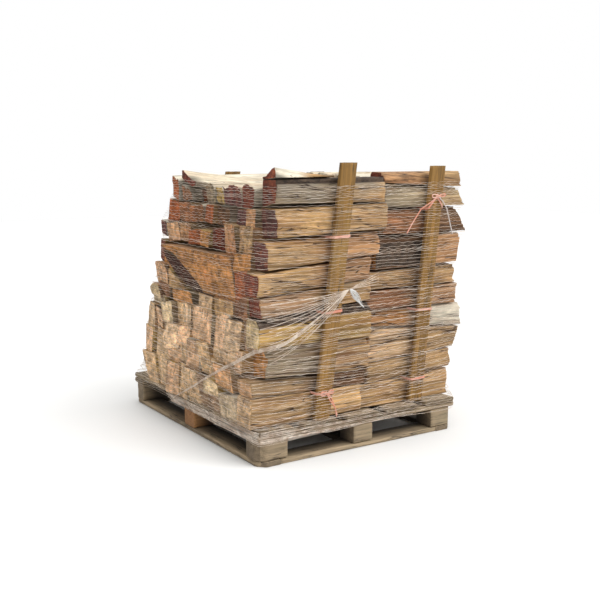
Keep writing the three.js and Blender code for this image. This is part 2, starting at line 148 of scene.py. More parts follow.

# The sawn ends on the left of the near row behind its front logs, from the deck up. Each has its tone, how far
# it stands back, and its outline as y and z. The "dark" ends mostly stand far back, and their dark tone is
# partly painted shade of the gaps between ends.
NEAR_ENDS = (
    ("grey", 8, (-452, 144), (-300, 144), (-300, 236), (-452, 240)),
    ("brown", 22, (-300, 144), (-190, 144), (-185, 222), (-300, 226)),
    ("wheat", -6, (-285, 228), (-190, 224), (-182, 262), (-215, 280), (-268, 262)),
    ("brown", 14, (-188, 144), (-105, 144), (-108, 276), (-180, 270)),
    ("sand", 0, (-105, 144), (0, 144), (4, 288), (-106, 284)),
    ("tan", 6, (0, 144), (92, 144), (90, 282), (4, 288)),
    ("pink", -4, (92, 144), (190, 144), (192, 284), (90, 282)),
    ("sand", 14, (190, 144), (335, 144), (345, 290), (192, 284)),
    ("tan", 0, (335, 144), (410, 150), (448, 280), (345, 290)),
    ("dark", 46, (-452, 244), (-392, 242), (-392, 338), (-452, 342)),
    ("ochre", -6, (-390, 246), (-258, 272), (-255, 345), (-390, 338)),
    ("sand", 10, (-255, 284), (-188, 278), (-188, 345), (-253, 347)),
    ("peach", 0, (-452, 346), (-390, 342), (-388, 412), (-452, 430)),
    ("beige", 6, (-388, 342), (-300, 348), (-296, 405), (-388, 412)),
    ("sand", 12, (-300, 348), (-190, 349), (-188, 408), (-296, 405)),
    ("tan", 2, (-182, 278), (-104, 286), (-100, 408), (-188, 408)),
    ("pink", -4, (-104, 288), (2, 292), (0, 410), (-100, 408)),
    ("sand", 8, (2, 292), (94, 288), (96, 366), (6, 372)),
    ("pink", 4, (94, 288), (208, 290), (205, 343), (97, 345)),
    ("sand", 0, (208, 290), (336, 294), (335, 408), (212, 400)),
    ("dark", 36, (336, 294), (382, 294), (380, 398), (335, 404)),
    ("peach", -4, (382, 294), (450, 292), (482, 390), (380, 396)),
    ("beige", -10, (100, 350), (206, 348), (224, 400), (215, 445), (150, 452), (98, 430)),
    ("peach", -4, (8, 376), (94, 370), (96, 432), (92, 452), (18, 455)),
    ("brown", 16, (-452, 436), (-415, 432), (-415, 548), (-452, 552)),
    ("beige", -4, (-415, 430), (-320, 412), (-318, 530), (-415, 535)),
    ("peach", 4, (-320, 412), (-196, 412), (-196, 548), (-318, 545)),
    ("pink", 0, (-196, 412), (-100, 412), (-98, 545), (-196, 548)),
    ("peach", 8, (-100, 412), (0, 414), (4, 455), (2, 548), (-98, 545)),
    ("beige", 0, (4, 458), (92, 456), (92, 555), (4, 552)),
    ("tan", 12, (92, 456), (192, 454), (190, 555), (94, 556)),
    ("wheat", -12, (196, 457), (268, 468), (292, 535), (215, 548), (194, 540)),
    ("sand", 14, (224, 404), (300, 409), (300, 462), (272, 464), (228, 450)),
    ("pink", 2, (302, 410), (370, 404), (372, 498), (304, 500)),
    ("sand", 0, (372, 402), (482, 394), (470, 455), (440, 505), (374, 500)),
    ("grey", 6, (300, 505), (374, 502), (410, 508), (405, 555), (302, 560)),
    ("wheat", -8, (302, 564), (408, 557), (448, 578), (420, 603), (370, 600)),
    ("rust", 4, (258, 574), (300, 568), (366, 604), (362, 622), (256, 618)),
    ("rust", 6, (-452, 556), (-336, 552), (-334, 616), (-452, 632)),
    ("tan", 2, (-336, 552), (-192, 552), (-192, 610), (-334, 614)),
    ("beige", -6, (-192, 552), (-52, 552), (-50, 612), (-192, 610)),
    ("dark", 52, (-50, 552), (4, 556), (28, 562), (24, 600), (-48, 606)),
    ("ochre", -2, (30, 560), (188, 560), (192, 606), (60, 610), (34, 598)),
    ("dark", 8, (-46, 612), (60, 614), (190, 670), (290, 747), (292, 785), (60, 698), (-46, 645)),
    ("tan", -4, (72, 612), (200, 606), (254, 622), (264, 682), (250, 710), (192, 664)),
    ("peach", -8, (258, 624), (410, 622), (415, 712), (300, 716), (268, 684)),
    ("ochre", 0, (264, 692), (300, 719), (330, 718), (328, 768), (294, 748), (254, 714)),
    ("red", 2, (330, 718), (398, 730), (392, 815), (330, 818)),
    ("ochre", -14, (-332, 616), (-60, 616), (-46, 648), (62, 704), (205, 764), (292, 792), (296, 812),
     (-330, 802)),
    ("ochre", -4, (-450, 752), (-336, 748), (-334, 814), (-450, 816)),
    ("orange", 0, (-450, 638), (-336, 622), (-336, 745), (-450, 748)),
    ("sand", 4, (-450, 820), (-332, 818), (-330, 926), (-450, 924)),
    ("pink", 0, (-330, 806), (-222, 806), (-220, 926), (-328, 926)),
    ("red", 22, (-222, 806), (-98, 806), (-98, 880), (-160, 902), (-220, 905)),
    ("ochre", -2, (-98, 806), (0, 808), (0, 866), (-96, 868)),
    ("orange", 0, (0, 808), (100, 810), (102, 862), (2, 866)),
    ("pink", 4, (104, 812), (200, 815), (202, 900), (108, 898)),
    ("peach", -6, (202, 815), (298, 818), (300, 902), (204, 900)),
    ("purple", -16, (302, 846), (366, 850), (372, 908), (302, 906)),
    ("orange", -4, (206, 905), (308, 908), (312, 1000), (206, 1000)),
    ("rust", 2, (110, 905), (204, 905), (204, 1000), (112, 1000)),
    ("brown", 0, (-12, 908), (106, 905), (108, 985), (-10, 990)),
    ("orange", 6, (-95, 905), (-14, 908), (-12, 985), (-95, 985)),
    ("brown", 26, (-202, 908), (-97, 905), (-97, 982), (-200, 985)),
    ("dark", 58, (-312, 930), (-204, 912), (-202, 985), (-310, 985)),
    ("purple", 2, (-402, 930), (-314, 930), (-312, 985), (-400, 988)),
    ("pink", -4, (-450, 928), (-404, 930), (-402, 988), (-450, 990)),
    ("red", -6, (-450, 994), (-332, 990), (-330, 1086), (-450, 1090)),
    ("purple", -2, (-330, 990), (-184, 988), (-182, 1072), (-200, 1082), (-330, 1084)),
    ("straw", 6, (-182, 992), (-108, 990), (-106, 1062), (-180, 1066)),
    ("grey", 4, (-106, 988), (-12, 994), (-10, 1072), (-104, 1070)),
    ("dark", 48, (-10, 994), (100, 994), (102, 1050), (-8, 1058)),
    ("rust", 0, (104, 1002), (204, 1004), (206, 1086), (150, 1078), (106, 1056)),
    ("orange", -6, (206, 1004), (312, 1004), (326, 1120), (250, 1110), (208, 1090)),
    ("red", -4, (24, 1088), (100, 1062), (150, 1084), (236, 1104), (236, 1136), (170, 1136)),
)

# The short split wedge that lies on the top front log of the near row, as x, y and z at its two ends
TOP_WEDGE = (
    ((-392, -572, 1103), (-392, -454, 1103), (-392, -476, 1118), (-392, -528, 1158), (-392, -550, 1156)),
    ((-120, -554, 1106), (-120, -462, 1106), (-120, -480, 1111), (-120, -520, 1119), (-120, -542, 1118)),
)

# Open gaps under the left and right end of some front logs, and over them. They close towards the rear.
FRONT_GAPS = {
    "log_near_9": (15, 2, 0, 0),
    "log_near_8": (12, 2, 3, 0),
    "log_near_7": (4, 0, 2, 3),
    "log_near_5": (3, 9, 0, 0),
    "log_near_3": (6, 2, 0, 0),
    "log_far_8": (10, 4, 4, 2),
    "log_far_7": (3, 6, 6, 0),
    "log_far_4": (5, 2, 3, 0),
    "log_far_2": (2, 6, 0, 4),
}
REAR_CLOSED = 0.85

# Sides of a log's outline with its corners cut, counted from the front low corner, and the bark on them
BOTTOM_SIDE = 1
TOP_SIDE = 5
FRONT_SIDE = 7
UPPER_EDGE = 6
REAR_SIDE = 3
REAR_SIDES = (2, REAR_SIDE, 4)
FRONT_SIDES = (0, UPPER_EDGE, FRONT_SIDE)
BARK_SIDES = {
    "bottom": (BOTTOM_SIDE,),
    "rear": (REAR_SIDE,),
    "top": (TOP_SIDE, UPPER_EDGE),
    "front left": (FRONT_SIDE,),
}
BARK_CHOICE = ("", "", "top", "rear", "bottom", "")

# How the logs differ from the solids' even layout
FAR_SEED = 29
FAR_RISE = -12
COURSE_WAVE = 32
COURSE_WAVE_LONG = 130
COURSE_WAVE_STARTS = 110
END_WARP = 15
END_WARP_SHORT = 95
END_WARP_LONG = 170
END_FREE = 12
END_GROW = 4.5
END_CORE = 12
END_LOOSE = (420, 700)
END_SHIFT = 26
FRONT_END_TILT = 0.16
INNER_END_TILT = 0.32
FACE_TILT = 18
GRAIN_TILT = 0.2
GRAIN_BEND = 14
PITH_SPREAD = 90
EDGE_CUT = 3.0
FRONT_EDGE_MORE = 11.0
INNER_EDGE_MORE = 5.0
TOP_COURSE = 1020
TOP_BAND = 60
TOP_SLOPE = 6
TOP_CROWN = 10
WEDGE_FALL = 62
WEDGE_TOP = 1128

# Steps of a log's mesh around and along it. A log is hidden if others lie over it and behind it.
FRONT_STEPS = (5.5, 11)
SHOWN_STEPS = (8.5, 24)
HIDDEN_STEPS = (8.5, 100)
REAR_SEEN = 280
END_RINGS = (0.955, 0.8, 0.6, 0.4, 0.2)
FRONT_END_ROUGH = 1.8
INNER_END_ROUGH = 4.0

# Relief of the logs, the boards and the slats: how deep it is, and how wide and long its forms are
RIDGE = (2.4, 12, 190)
FINE_RIDGE = (1.4, 5.5, 80)
LAYER = (1.0, 36, 420)
LAYER_DEEP = 4.5
LAYER_STEPS = ((0.4, 0.44), (0.6, 0.63))
TEAR = (1.0, 27, 330)
TEAR_DEEP = 5.0
CRUST = (3.5, 13, 30)
FINE_CRUST = (1.5, 5, 9)
BOARD_WORN = (1.2, 30, 160)
BOARD_GRAIN = (0.7, 4, 120)
BOARD_CHIP = (1.0, 9, 45)
BOARD_CHIP_DEEP = 3.0
SLAT_GRAIN = (0.7, 6, 220)
SLAT_WORN = (0.5, 20, 90)
BOARD_STEPS = (7, 14)
SLAT_STEPS = (6, 12)

# Heights between which ends turn darker and lose their bleach, and between which the sides of inner logs gain
# painted shade near their ends, and how much of each there is. The painted shade stands for the shadow in the
# gaps under the logs above.
DARKER = (480, 820)
BLEACH_ENDS = (470, 620)
PAINTED_SHADE_STARTS = (470, 640)
DARK_SHARE = (0.08, 0.72)
BLEACH_SHARE = 0.3
BLEACH_LIGHT = 0.5
PAINTED_SHADE_SHARE = (0.15, 0.65)
PAINTED_SHADE_COVER = (4, 14)
PAINTED_SHADE_COVER_TOP = (18, 36)
PAINTED_SHADE_LONG = (90, 25)
LEAST_LIGHT = 0.9
MORE_LIGHT = 0.22
MOST_GREY = 0.45
TONE_CHANGE = (0.35, 0.65)
BARK_STOPS = (0.6, 0.5)

# Colours of stains, finishes and painted shade, as sRGB. Boards have their tone, their dark patches and their
# pale patches.
BLEACHED = (206, 184, 156)
STAIN = (138, 92, 58)
WEATHERED = (132, 121, 105)
CRACK = (48, 31, 22)
BARK_DARK = (38, 30, 25)
BARK_LIGHT = (98, 80, 65)
RUSTY_END = (176, 100, 54)
END_SPLIT = (52, 32, 24)
SOOT = (72, 46, 36)
# The dark of the boards' cracks, also used as painted shade on the faces inside the pallet.
CRACK_AND_PAINTED_SHADE = (36, 31, 26)
PALLET_GREY = ((158, 138, 110), (74, 62, 50), (146, 134, 106))
PALLET_FRESH = ((184, 132, 82), (110, 74, 46), (160, 128, 88))
SLAT_PINE = ((144, 107, 52), (98, 70, 34), (160, 126, 70))
PINK = (232, 152, 126)
PALE_TWINE = (206, 198, 194)
FADED_TWINE = (246, 220, 206)
NET_DUSTY = (196, 172, 150)
NET_WHITE = (248, 236, 222)
FILM = (238, 238, 236)

# Slats and twine
SLAT_WIDE = 76
SLAT_THICK = 22
SLAT_GAP = 1.5
SLATS = (
    {"x": -204, "lean": 0.125, "top": {"front": 1166, "back": 1122}, "row": 0,
     "ties": (("low", 0, 0), ("mid", 3, 0), ("high", 6, 0))},
    {"x": 300, "lean": 0.108, "top": {"front": 1152, "back": 1118}, "row": 1,
     "ties": (("low", 0, 0), ("mid", 3, 0), ("high", 7, 52))},
)
TWINE = 4
TWINE_GAP = 1.2
WRAPS = 3
WRAP_PITCH = 3.2
WRAP_RADIUS = 1.9
LOOSE_RADIUS = 2.5
LOOP_STEP = 8
LOOSE_STEP = 3
PLIES = 3
PLY_HIGH = 0.22
PLY_TWIST = 0.35
PALE_END = (1, 5)

# Loops and loose ends of the two knots, as offsets from the knot: across, out and up
KNOT = (
    ((-9, 0, -7), (8, 5, 6), (10, 8, -6), (-7, 6, 8), (-11, 3, -3), (9, 0, 3)),
    ((-6, 3, 9), (7, 7, -9), (3, 4, -12), (-4, 5, 10)),
)
TIE_ENDS = {
    (1, "low"): KNOT + (
        ((4, 4, 2), (-22, 6, 12), (-34, 5, 4), (-24, 4, -8), (-4, 5, -2)),
        ((-2, 4, 0), (20, 6, 14), (34, 5, 10), (30, 4, -4), (6, 5, 0)),
        ((6, 4, -2), (24, 3, -22), (36, 2, -50), (46, 1, -80), (50, 1, -104)),
        ((2, 4, -4), (16, 3, -30), (40, 2, -60), (52, 1, -96)),
    ),
    (2, "high"): KNOT + (
        ((2, 4, 0), (-22, 6, 10), (-36, 5, 6), (-30, 4, -8), (-4, 5, -2)),
        ((-2, 4, 0), (18, 6, 8), (44, 5, 10), (36, 4, -2), (6, 5, 0)),
        ((-4, 4, -2), (-40, 3, -26), (-84, -6, -52), (-130, -8, -112), (-158, -8, -152)),
        ((4, 4, -2), (30, 3, -24), (58, -6, -52), (76, -8, -100), (96, -8, -164)),
    ),
}

# The net's surface, its strands and its gathered edge. Angles run around the pile from +X, in radians.
NET_LOW = 104
NET_HIGH = 1090
NET_LEVEL = 8.0
NET_CENTRE = (10, -50)
NET_TURNS = 180
NET_AROUND = 330
NET_DRAW_IN = 0.55
NET_PITCH = 10.2
NET_WIDE = 0.5
NET_DEEP = 0.45
NET_OUT = 1.2
NET_WAVE = 52
BUNCHED = (160, 660, 25)
BUNCHED_WIDE = 0.8
NET_GATHER = (-76, -600, 666)
GATHER_PATH = ((-505, 110, 128), (-513, -87, 222), (-504, -239, 300), (-495, -408, 381), (-487, -552, 447),
               (-470, -580, 455), (-386, -600, 471), NET_GATHER)
GATHER_CORNER = 4
GATHER_STRANDS = 9
GATHER_PITCH = 1.8
FAN_STRANDS = 16
FAN_LOW = 395
FAN_PITCH = 15.5
BEYOND_STRANDS = 5
BEYOND_TURN = 0.28
EDGE_STRANDS = 34
EDGE_START = -3.5
EDGE_CORNER = -2.3
EDGE_FRONT = 1.6
EDGE_LOW = 100
EDGE_HIGH = 146
TAIL_STRANDS = 26
TAIL_RIGHT = 60
TAIL_DOWN = 58

# Floor and light
FLOOR_HALF = 14.0
FLOOR_COLOUR = (0.8, 0.8, 0.79, 1.0)
WHITE = (1.0, 1.0, 1.0, 1.0)
SKY_STRENGTH = 0.6
SUN_SPREAD = 50
SUNS = (("key", (0.5, -0.75, 1.0), 2.15), ("top", (-0.1, 0.1, 1.0), 1.3))


# Small tools


def stream(seed):
    """Repeatable numbers from 0 to 1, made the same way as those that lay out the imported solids."""
    state = seed
    while True:
        state = (state * 1664525 + 1013904223) % 4294967296
        yield state / 4294967296


def linear(colour):
    """An sRGB colour of 0 to 255 as linear values."""
    share = np.asarray(colour, float) / 255
    return np.where(share <= 0.04045, share / 12.92, ((share + 0.055) / 1.055) ** 2.4)


def lattice(i, j, seed):
    """A repeatable number from 0 to 1 for each whole grid point."""
    with np.errstate(over="ignore"):
        h = i.astype(np.uint32) * np.uint32(374761393) + j.astype(np.uint32) * np.uint32(668265263)
        h = h + np.uint32(seed & 0xFFFFFFFF) * np.uint32(2246822519)
        h = (h ^ (h >> np.uint32(13))) * np.uint32(1274126177)
        h = h ^ (h >> np.uint32(16))
    return h.astype(np.float64) / 4294967295.0


def noise(u, v, seed):
    """Smooth value noise from 0 to 1, one unit to a cell."""
    u, v = np.broadcast_arrays(np.asarray(u, float), np.asarray(v, float))
    i, j = np.floor(u).astype(np.int64), np.floor(v).astype(np.int64)
    fu, fv = u - i, v - j
    fu = fu * fu * (3 - 2 * fu)
    fv = fv * fv * (3 - 2 * fv)
    low = lattice(i, j, seed) * (1 - fu) + lattice(i + 1, j, seed) * fu
    high = lattice(i, j + 1, seed) * (1 - fu) + lattice(i + 1, j + 1, seed) * fu
    return low * (1 - fv) + high * fv


def smooth_step(low, high, value):
    """0 at low and 1 at high, with an eased change between them. low may be above high."""
    share = np.clip((value - low) / (high - low), 0, 1)
    return share * share * (3 - 2 * share)


def swing(size, u, v, seed):
    """Smooth noise of a given size, around nothing."""
    return size * (noise(u, v, seed) - 0.5)


def relief(form, across, along, seed):
    """Smooth noise with forms of a given depth, width and length."""
    deep, wide, long = form
    return deep * noise(across / wide, along / long, seed)


def neighbours(count, closed=True):
    """Each index with the next one. The last one's next is the first where the round is closed."""
    return [(i, (i + 1) % count) for i in range(count if closed else count - 1)]


def soften(points):
    """Each point of a closed round drawn towards its two neighbours."""
    return 0.25 * np.roll(points, 1, 0) + 0.5 * points + 0.25 * np.roll(points, -1, 0)


def unit(vectors):
    return vectors / np.maximum(np.linalg.norm(vectors, axis=1, keepdims=True), 1e-9)


def distances(points):
    """The way along a line of points to each of them."""
    return np.concatenate([[0], np.cumsum(np.linalg.norm(np.diff(points, axis=0), axis=1))])


def link(name, data):
    thing = bpy.data.objects.new(name, data)
    bpy.context.scene.collection.objects.link(thing)
    return thing


class Piece:
    """Collects vertices, faces and point values, and becomes one mesh object."""

    def __init__(self, name):
        self.name = name
        self.points = []
        self.faces = []
        self.values = {}
        self.count = 0

    def add(self, points, faces, **values):
        self.points.append(points)
        self.faces.extend([tuple(i + self.count for i in face) for face in faces])
        for key, value in values.items():
            value = np.broadcast_to(np.asarray(value, float), (len(points), 3))
            self.values.setdefault(key, []).append(value)
        self.count += len(points)

    def finish(self, material, slot, *nodes):
        mesh = bpy.data.meshes.new(self.name)
        points = np.concatenate(self.points)
        mesh.from_pydata((points * MM).tolist(), [], self.faces)
        for key, parts in self.values.items():
            layer = mesh.attributes.new(key, "FLOAT_VECTOR", "POINT")
            layer.data.foreach_set("vector", np.concatenate(parts).astype(np.float32).ravel())
        mesh.polygons.foreach_set("use_smooth", [True] * len(mesh.polygons))
        mesh.materials.append(material)
        mesh.validate()
        mesh.update()
        thing = link(self.name, mesh)
        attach(thing, "root")
        if nodes:
            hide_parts(*nodes)


# Timber: a sawn or split length swept between two outlines


def own_place(draw):
    """A shift of the grain, so that no two pieces share one."""
    return np.array([next(draw) * 9 for _ in range(3)])


def cut_corners(corners, cuts):
    """Takes each corner of an outline off, which leaves two points for it."""
    points = []
    for i, corner in enumerate(corners):
        for other in (corners[i - 1], corners[(i + 1) % len(corners)]):
            side = np.linalg.norm(other - corner)
            points.append(corner + (other - corner) * min(cuts[i], 0.4 * side) / side)
    return np.array(points)


def resample(start, end, step):
    """Points along two matching outlines, with each one's side, its share of that side and its way round."""
    rows = []
    way = 0.0
    for i, j in neighbours(len(start)):
        length = 0.5 * (np.linalg.norm(start[j] - start[i]) + np.linalg.norm(end[j] - end[i]))
        count = max(1, round(length / step))
        for k in range(count):
            share = k / count
            rows.append((start[i] + (start[j] - start[i]) * share, end[i] + (end[j] - end[i]) * share,
                         i, share, way + length * share))
        way += length
    return [np.array(column) for column in zip(*rows)]


def inward(points):
    """The inward direction at each point of an outline that turns left, in its own plane."""
    along = np.roll(points, -1, 0) - np.roll(points, 1, 0)
    along[:, 0] = 0
    along = unit(along)
    return np.stack([np.zeros(len(points)), -along[:, 2], along[:, 1]], 1)


def timber(start, end, step, long_step, depth, end_rough, seed):
    """A length between two outlines of (along, across, up) points. depth(side, share, way, along) gives how
    deep the surface lies at each place. Returns points, faces, and the side of each point, -1 on an end."""
    start, end, side, share, way = resample(start, end, step)
    start, end = soften(start), soften(end)
    count = len(start)
    length = abs(end[:, 0].mean() - start[:, 0].mean())
    rings = max(3, round(length / long_step) + 1)
    t = np.linspace(0, 1, rings)[:, None]
    along = start[None, :, 0] * (1 - t) + end[None, :, 0] * t
    deep = depth(side[None, :], share[None, :], way[None, :], along)
    base = start[None] * (1 - t[..., None]) + end[None] * t[..., None]
    turn = inward(start)[None] * (1 - t[..., None]) + inward(end)[None] * t[..., None]
    grid = base + turn * deep[..., None]
    points = [grid.reshape(-1, 3)]
    faces = [(r * count + i, r * count + n, (r + 1) * count + n, (r + 1) * count + i)
             for r in range(rings - 1) for i, n in neighbours(count)]
    total = rings * count
    for which, outward in ((0, -1), (rings - 1, 1)):
        ring = grid[which]
        middle = ring.mean(0)
        last = which * count
        order = slice(None, None, outward)
        for scale in END_RINGS:
            inner = middle + (ring - middle) * scale
            rough = noise(inner[:, 1] / 5, inner[:, 2] / 14, seed + which) - 0.5
            inner[:, 0] += outward * end_rough * (1.2 * rough + (0.2 if scale == END_RINGS[0] else 0.5))
            points.append(inner)
            faces.extend((last + i, last + n, total + n, total + i)[order] for i, n in neighbours(count))
            last = total
            total += count
        points.append(middle[None] + np.array([[outward * end_rough * 0.5, 0, 0]]))
        faces.extend((last + i, last + n, total)[order] for i, n in neighbours(count))
        total += 1
    sides = np.full(total, -1)
    sides[:rings * count] = np.tile(side, rings)
    return np.concatenate(points), faces, sides


# The pile's layout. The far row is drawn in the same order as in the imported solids.


@dataclass
class Log:
    """One log: the node it belongs to, the corners of its two ends, the cuts of its edges, and its look."""
    node: str
    corners: list
    cuts: list
    front: bool = False
    tones: tuple = None
    end: str = None
    bark: str = None
    tilt: float = 0.0


def line_through(a, b, z):
    """The value at z on the line through two points of z and value."""
    return a[1] + (b[1] - a[1]) * (z - a[0]) / (b[0] - a[0])


def back_y(z):
    """Where the back of the pile is at a height."""
    for a, b in zip(BACK_PROFILE, BACK_PROFILE[1:]):
        if z <= b[0]:
            return line_through(a, b, z)
    return line_through(BACK_PROFILE[-2], BACK_PROFILE[-1], z)


def meeting_x(z):
    """Where the two rows meet at a height."""
    return MEETING_X + LEAN * (z - DECK_TOP)


def course_top(row, k, x):
    """The height of the top of a course at a place along it. The course before the first is the deck."""
    if k < 0:
        return DECK_TOP
    left, right, low, high = row["courses"][k][:4]
    return low + (high - low) * (x - left) / (right - left)


def inner_height(row, k):
    """The height of the top of a course behind its front log."""
    return course_top(row, k, row["mid"])


def course_cells(row, k, draw):
    """The front and rear side, at the bottom and top, of each log behind the front log of a course."""
    start = row["front"] + FRONT_DEEP
    end = [back_y(inner_height(row, c)) - BACK_SETBACK * (0.3 + next(draw)) for c in (k - 1, k)]
    count = math.floor((min(end) - start) / LOG_WIDE + 0.5)
    splits = [(start, start)]
    for j in range(1, count):
        shift = (next(draw) - 0.5) * SPLIT_SHIFT * LOG_WIDE
        slant = (next(draw) - 0.5) * SPLIT_SLANT * LOG_WIDE
        even = [start + (y - start) * j / count for y in end]
        splits.append((even[0] + shift - slant, even[1] + shift + slant))
    splits.append(tuple(end))
    cells = []
    for front, rear in zip(splits, splits[1:]):
        if next(draw) > WEDGE_SHARE:
            cells.append((front, rear))
            continue
        thin = WEDGE_THIN * (rear[0] - front[0])
        rising = next(draw) < 0.5
        cut = (front[0] + thin, rear[1] - thin) if rising else (rear[0] - thin, front[1] + thin)
        cells.extend([(front, cut), (cut, rear)])
    return cells


def wave(row, k, y):
    """How far the top of a course rises or dips at a place behind its front log."""
    if k < 0:
        return 0
    fade = smooth_step(0, COURSE_WAVE_STARTS, y - row["front"] - FRONT_DEEP)
    return COURSE_WAVE * (2 * noise(y / COURSE_WAVE_LONG, 3.7 * k + FAR_SEED, 17) - 1) * fade


def row_ends(row, low, high, stagger):
    """The left and right end of a log behind the front ones, which lies between two heights."""
    rise = 0.5 * (low + high) - DECK_TOP
    if row["name"] == "near":
        return LEFT_X + LEAN * rise + stagger, meeting_x(low) - MEETING_GAP
    return meeting_x(high) + MEETING_GAP, RIGHT_X + RIGHT_LEAN * rise - stagger


def log_corners(front, rear, bottom, top, ends, rake=0):
    """The four corners of a log at each end: front low, rear low, rear high, front high."""
    outlines = []
    for i, x in enumerate(ends):
        low_x, high_x = x - i * rake / 2, x + i * rake / 2
        low, high = bottom(low_x) + CLEARANCE, top(high_x) - CLEARANCE
        outlines.append(np.array([
            (low_x, front[0] + CLEARANCE, low),
            (low_x, rear[0] - CLEARANCE, low),
            (high_x, rear[1] - CLEARANCE, high),
            (high_x, front[1] + CLEARANCE, high),
        ]))
    return outlines


def grown(flat, by):
    """An outline of y and z, let out by a distance from its middle."""
    away = flat - flat.mean(0)
    return flat + by * away / np.maximum(np.abs(away), END_CORE) * np.minimum(np.abs(away) / END_CORE, 1)


def front_log(row, k, look):
    """The log of a course that shows on the front."""
    left, right, _, _, back, bevel, rake, tone, tone_right, end_tone, bark = row["courses"][k]
    front = row["front"] + back
    rear = row["front"] + FRONT_DEEP
    corners = log_corners((front, front), (rear, rear), lambda x: course_top(row, k - 1, x),
                          lambda x: course_top(row, k, x), (left, right), rake)
    node = f"log_{row['name']}_{k + 1}"
    lean_low, lean_high = (FACE_TILT * next(look) for _ in range(2))
    gaps = FRONT_GAPS.get(node, (0, 0, 0, 0))
    for i, outline in enumerate(corners):
        outline[0] += (0, lean_low, gaps[i])
        outline[3] += (0, lean_high, -gaps[2 + i])
    cuts = (CUT_FRONT, CUT_FRONT, CUT_FRONT, bevel)
    return Log(node, corners, cuts, True, (tone, tone_right), end_tone, bark)


def far_logs(row, k, draw):
    """The logs behind the front log of a course of the far row."""
    low, high = inner_height(row, k - 1), inner_height(row, k)
    last = k == len(row["courses"]) - 1
    tier = sum(k >= first for first in TIER_STARTS)
    logs = []
    for front, rear in course_cells(row, k, draw):
        ends = row_ends(row, low, high, STAGGER * next(draw))
        rise = FAR_RISE - TOP_DROP * next(draw) if last else 0
        cuts = []
        for _ in range(4):
            cuts.append(CUT_LARGE * (0.5 + 0.5 * next(draw)) if next(draw) < CUT_SHARE else 0)
        corners = log_corners(front, rear, lambda x: low, lambda x: high + rise, ends)
        places = ((k - 1, front[0]), (k - 1, rear[0]), (k, rear[1]), (k, front[1]))
        for outline in corners:
            outline[:, 2] += [wave(row, course, y) for course, y in places]
        logs.append(Log(f"logs_far_{TIERS[tier]}", corners, cuts))
    return logs


def near_log(tone, back, outline, look):
    """A log of the near row, from the outline of its sawn end."""
    row = ROWS[0]
    flat = np.array(outline, float)
    lift = END_WARP * (2 * noise(flat[:, 0] / END_WARP_SHORT, flat[:, 1] / END_WARP_LONG, 31) - 1)
    flat[:, 1] += lift * (flat[:, 1] > DECK_TOP)
    shift = END_WARP * (2 * noise(flat[:, 0] / END_WARP_LONG, flat[:, 1] / END_WARP_SHORT, 32) - 1)
    flat[:, 0] += shift * (flat[:, 0] > row["front"] + FRONT_DEEP + END_FREE)
    loose = smooth_step(*END_LOOSE, flat[:, 1].mean())
    flat = grown(flat, END_GROW * (1.9 - 1.1 * loose + 1.2 * next(look)))
    low, high = flat[:, 1].min(), flat[:, 1].max()
    corners = [np.column_stack([np.full(len(flat), x), flat]) for x in row_ends(row, low, high, back)]
    slope = -WEDGE_FALL if high > WEDGE_TOP else TOP_SLOPE
    corners[1][:, 2] += slope * smooth_step(TOP_COURSE, TOP_COURSE + TOP_BAND, flat[:, 1])
    tier = sum(0.5 * (low + high) > inner_height(row, k - 1) for k in TIER_STARTS)
    return Log(f"logs_near_{TIERS[tier]}", corners, [0] * len(flat), end=tone)


def lay_out_logs():
    """Every log of the pile."""
    near, far = ROWS
    look, draw = stream(53), stream(FAR_SEED)
    logs = [front_log(near, k, look) for k in range(len(near["courses"]))]
    for k in range(len(far["courses"])):
        logs.append(front_log(far, k, look))
        logs.extend(far_logs(far, k, draw))
    logs.extend(near_log(tone, back, outline, look) for tone, back, *outline in NEAR_ENDS)
    wedge = [np.array(outline, float) for outline in TOP_WEDGE]
    logs.append(Log("log_near_10", wedge, [0] * len(wedge[0]), False, ("cream", "tan"), "red", ""))
    return logs


# Materials


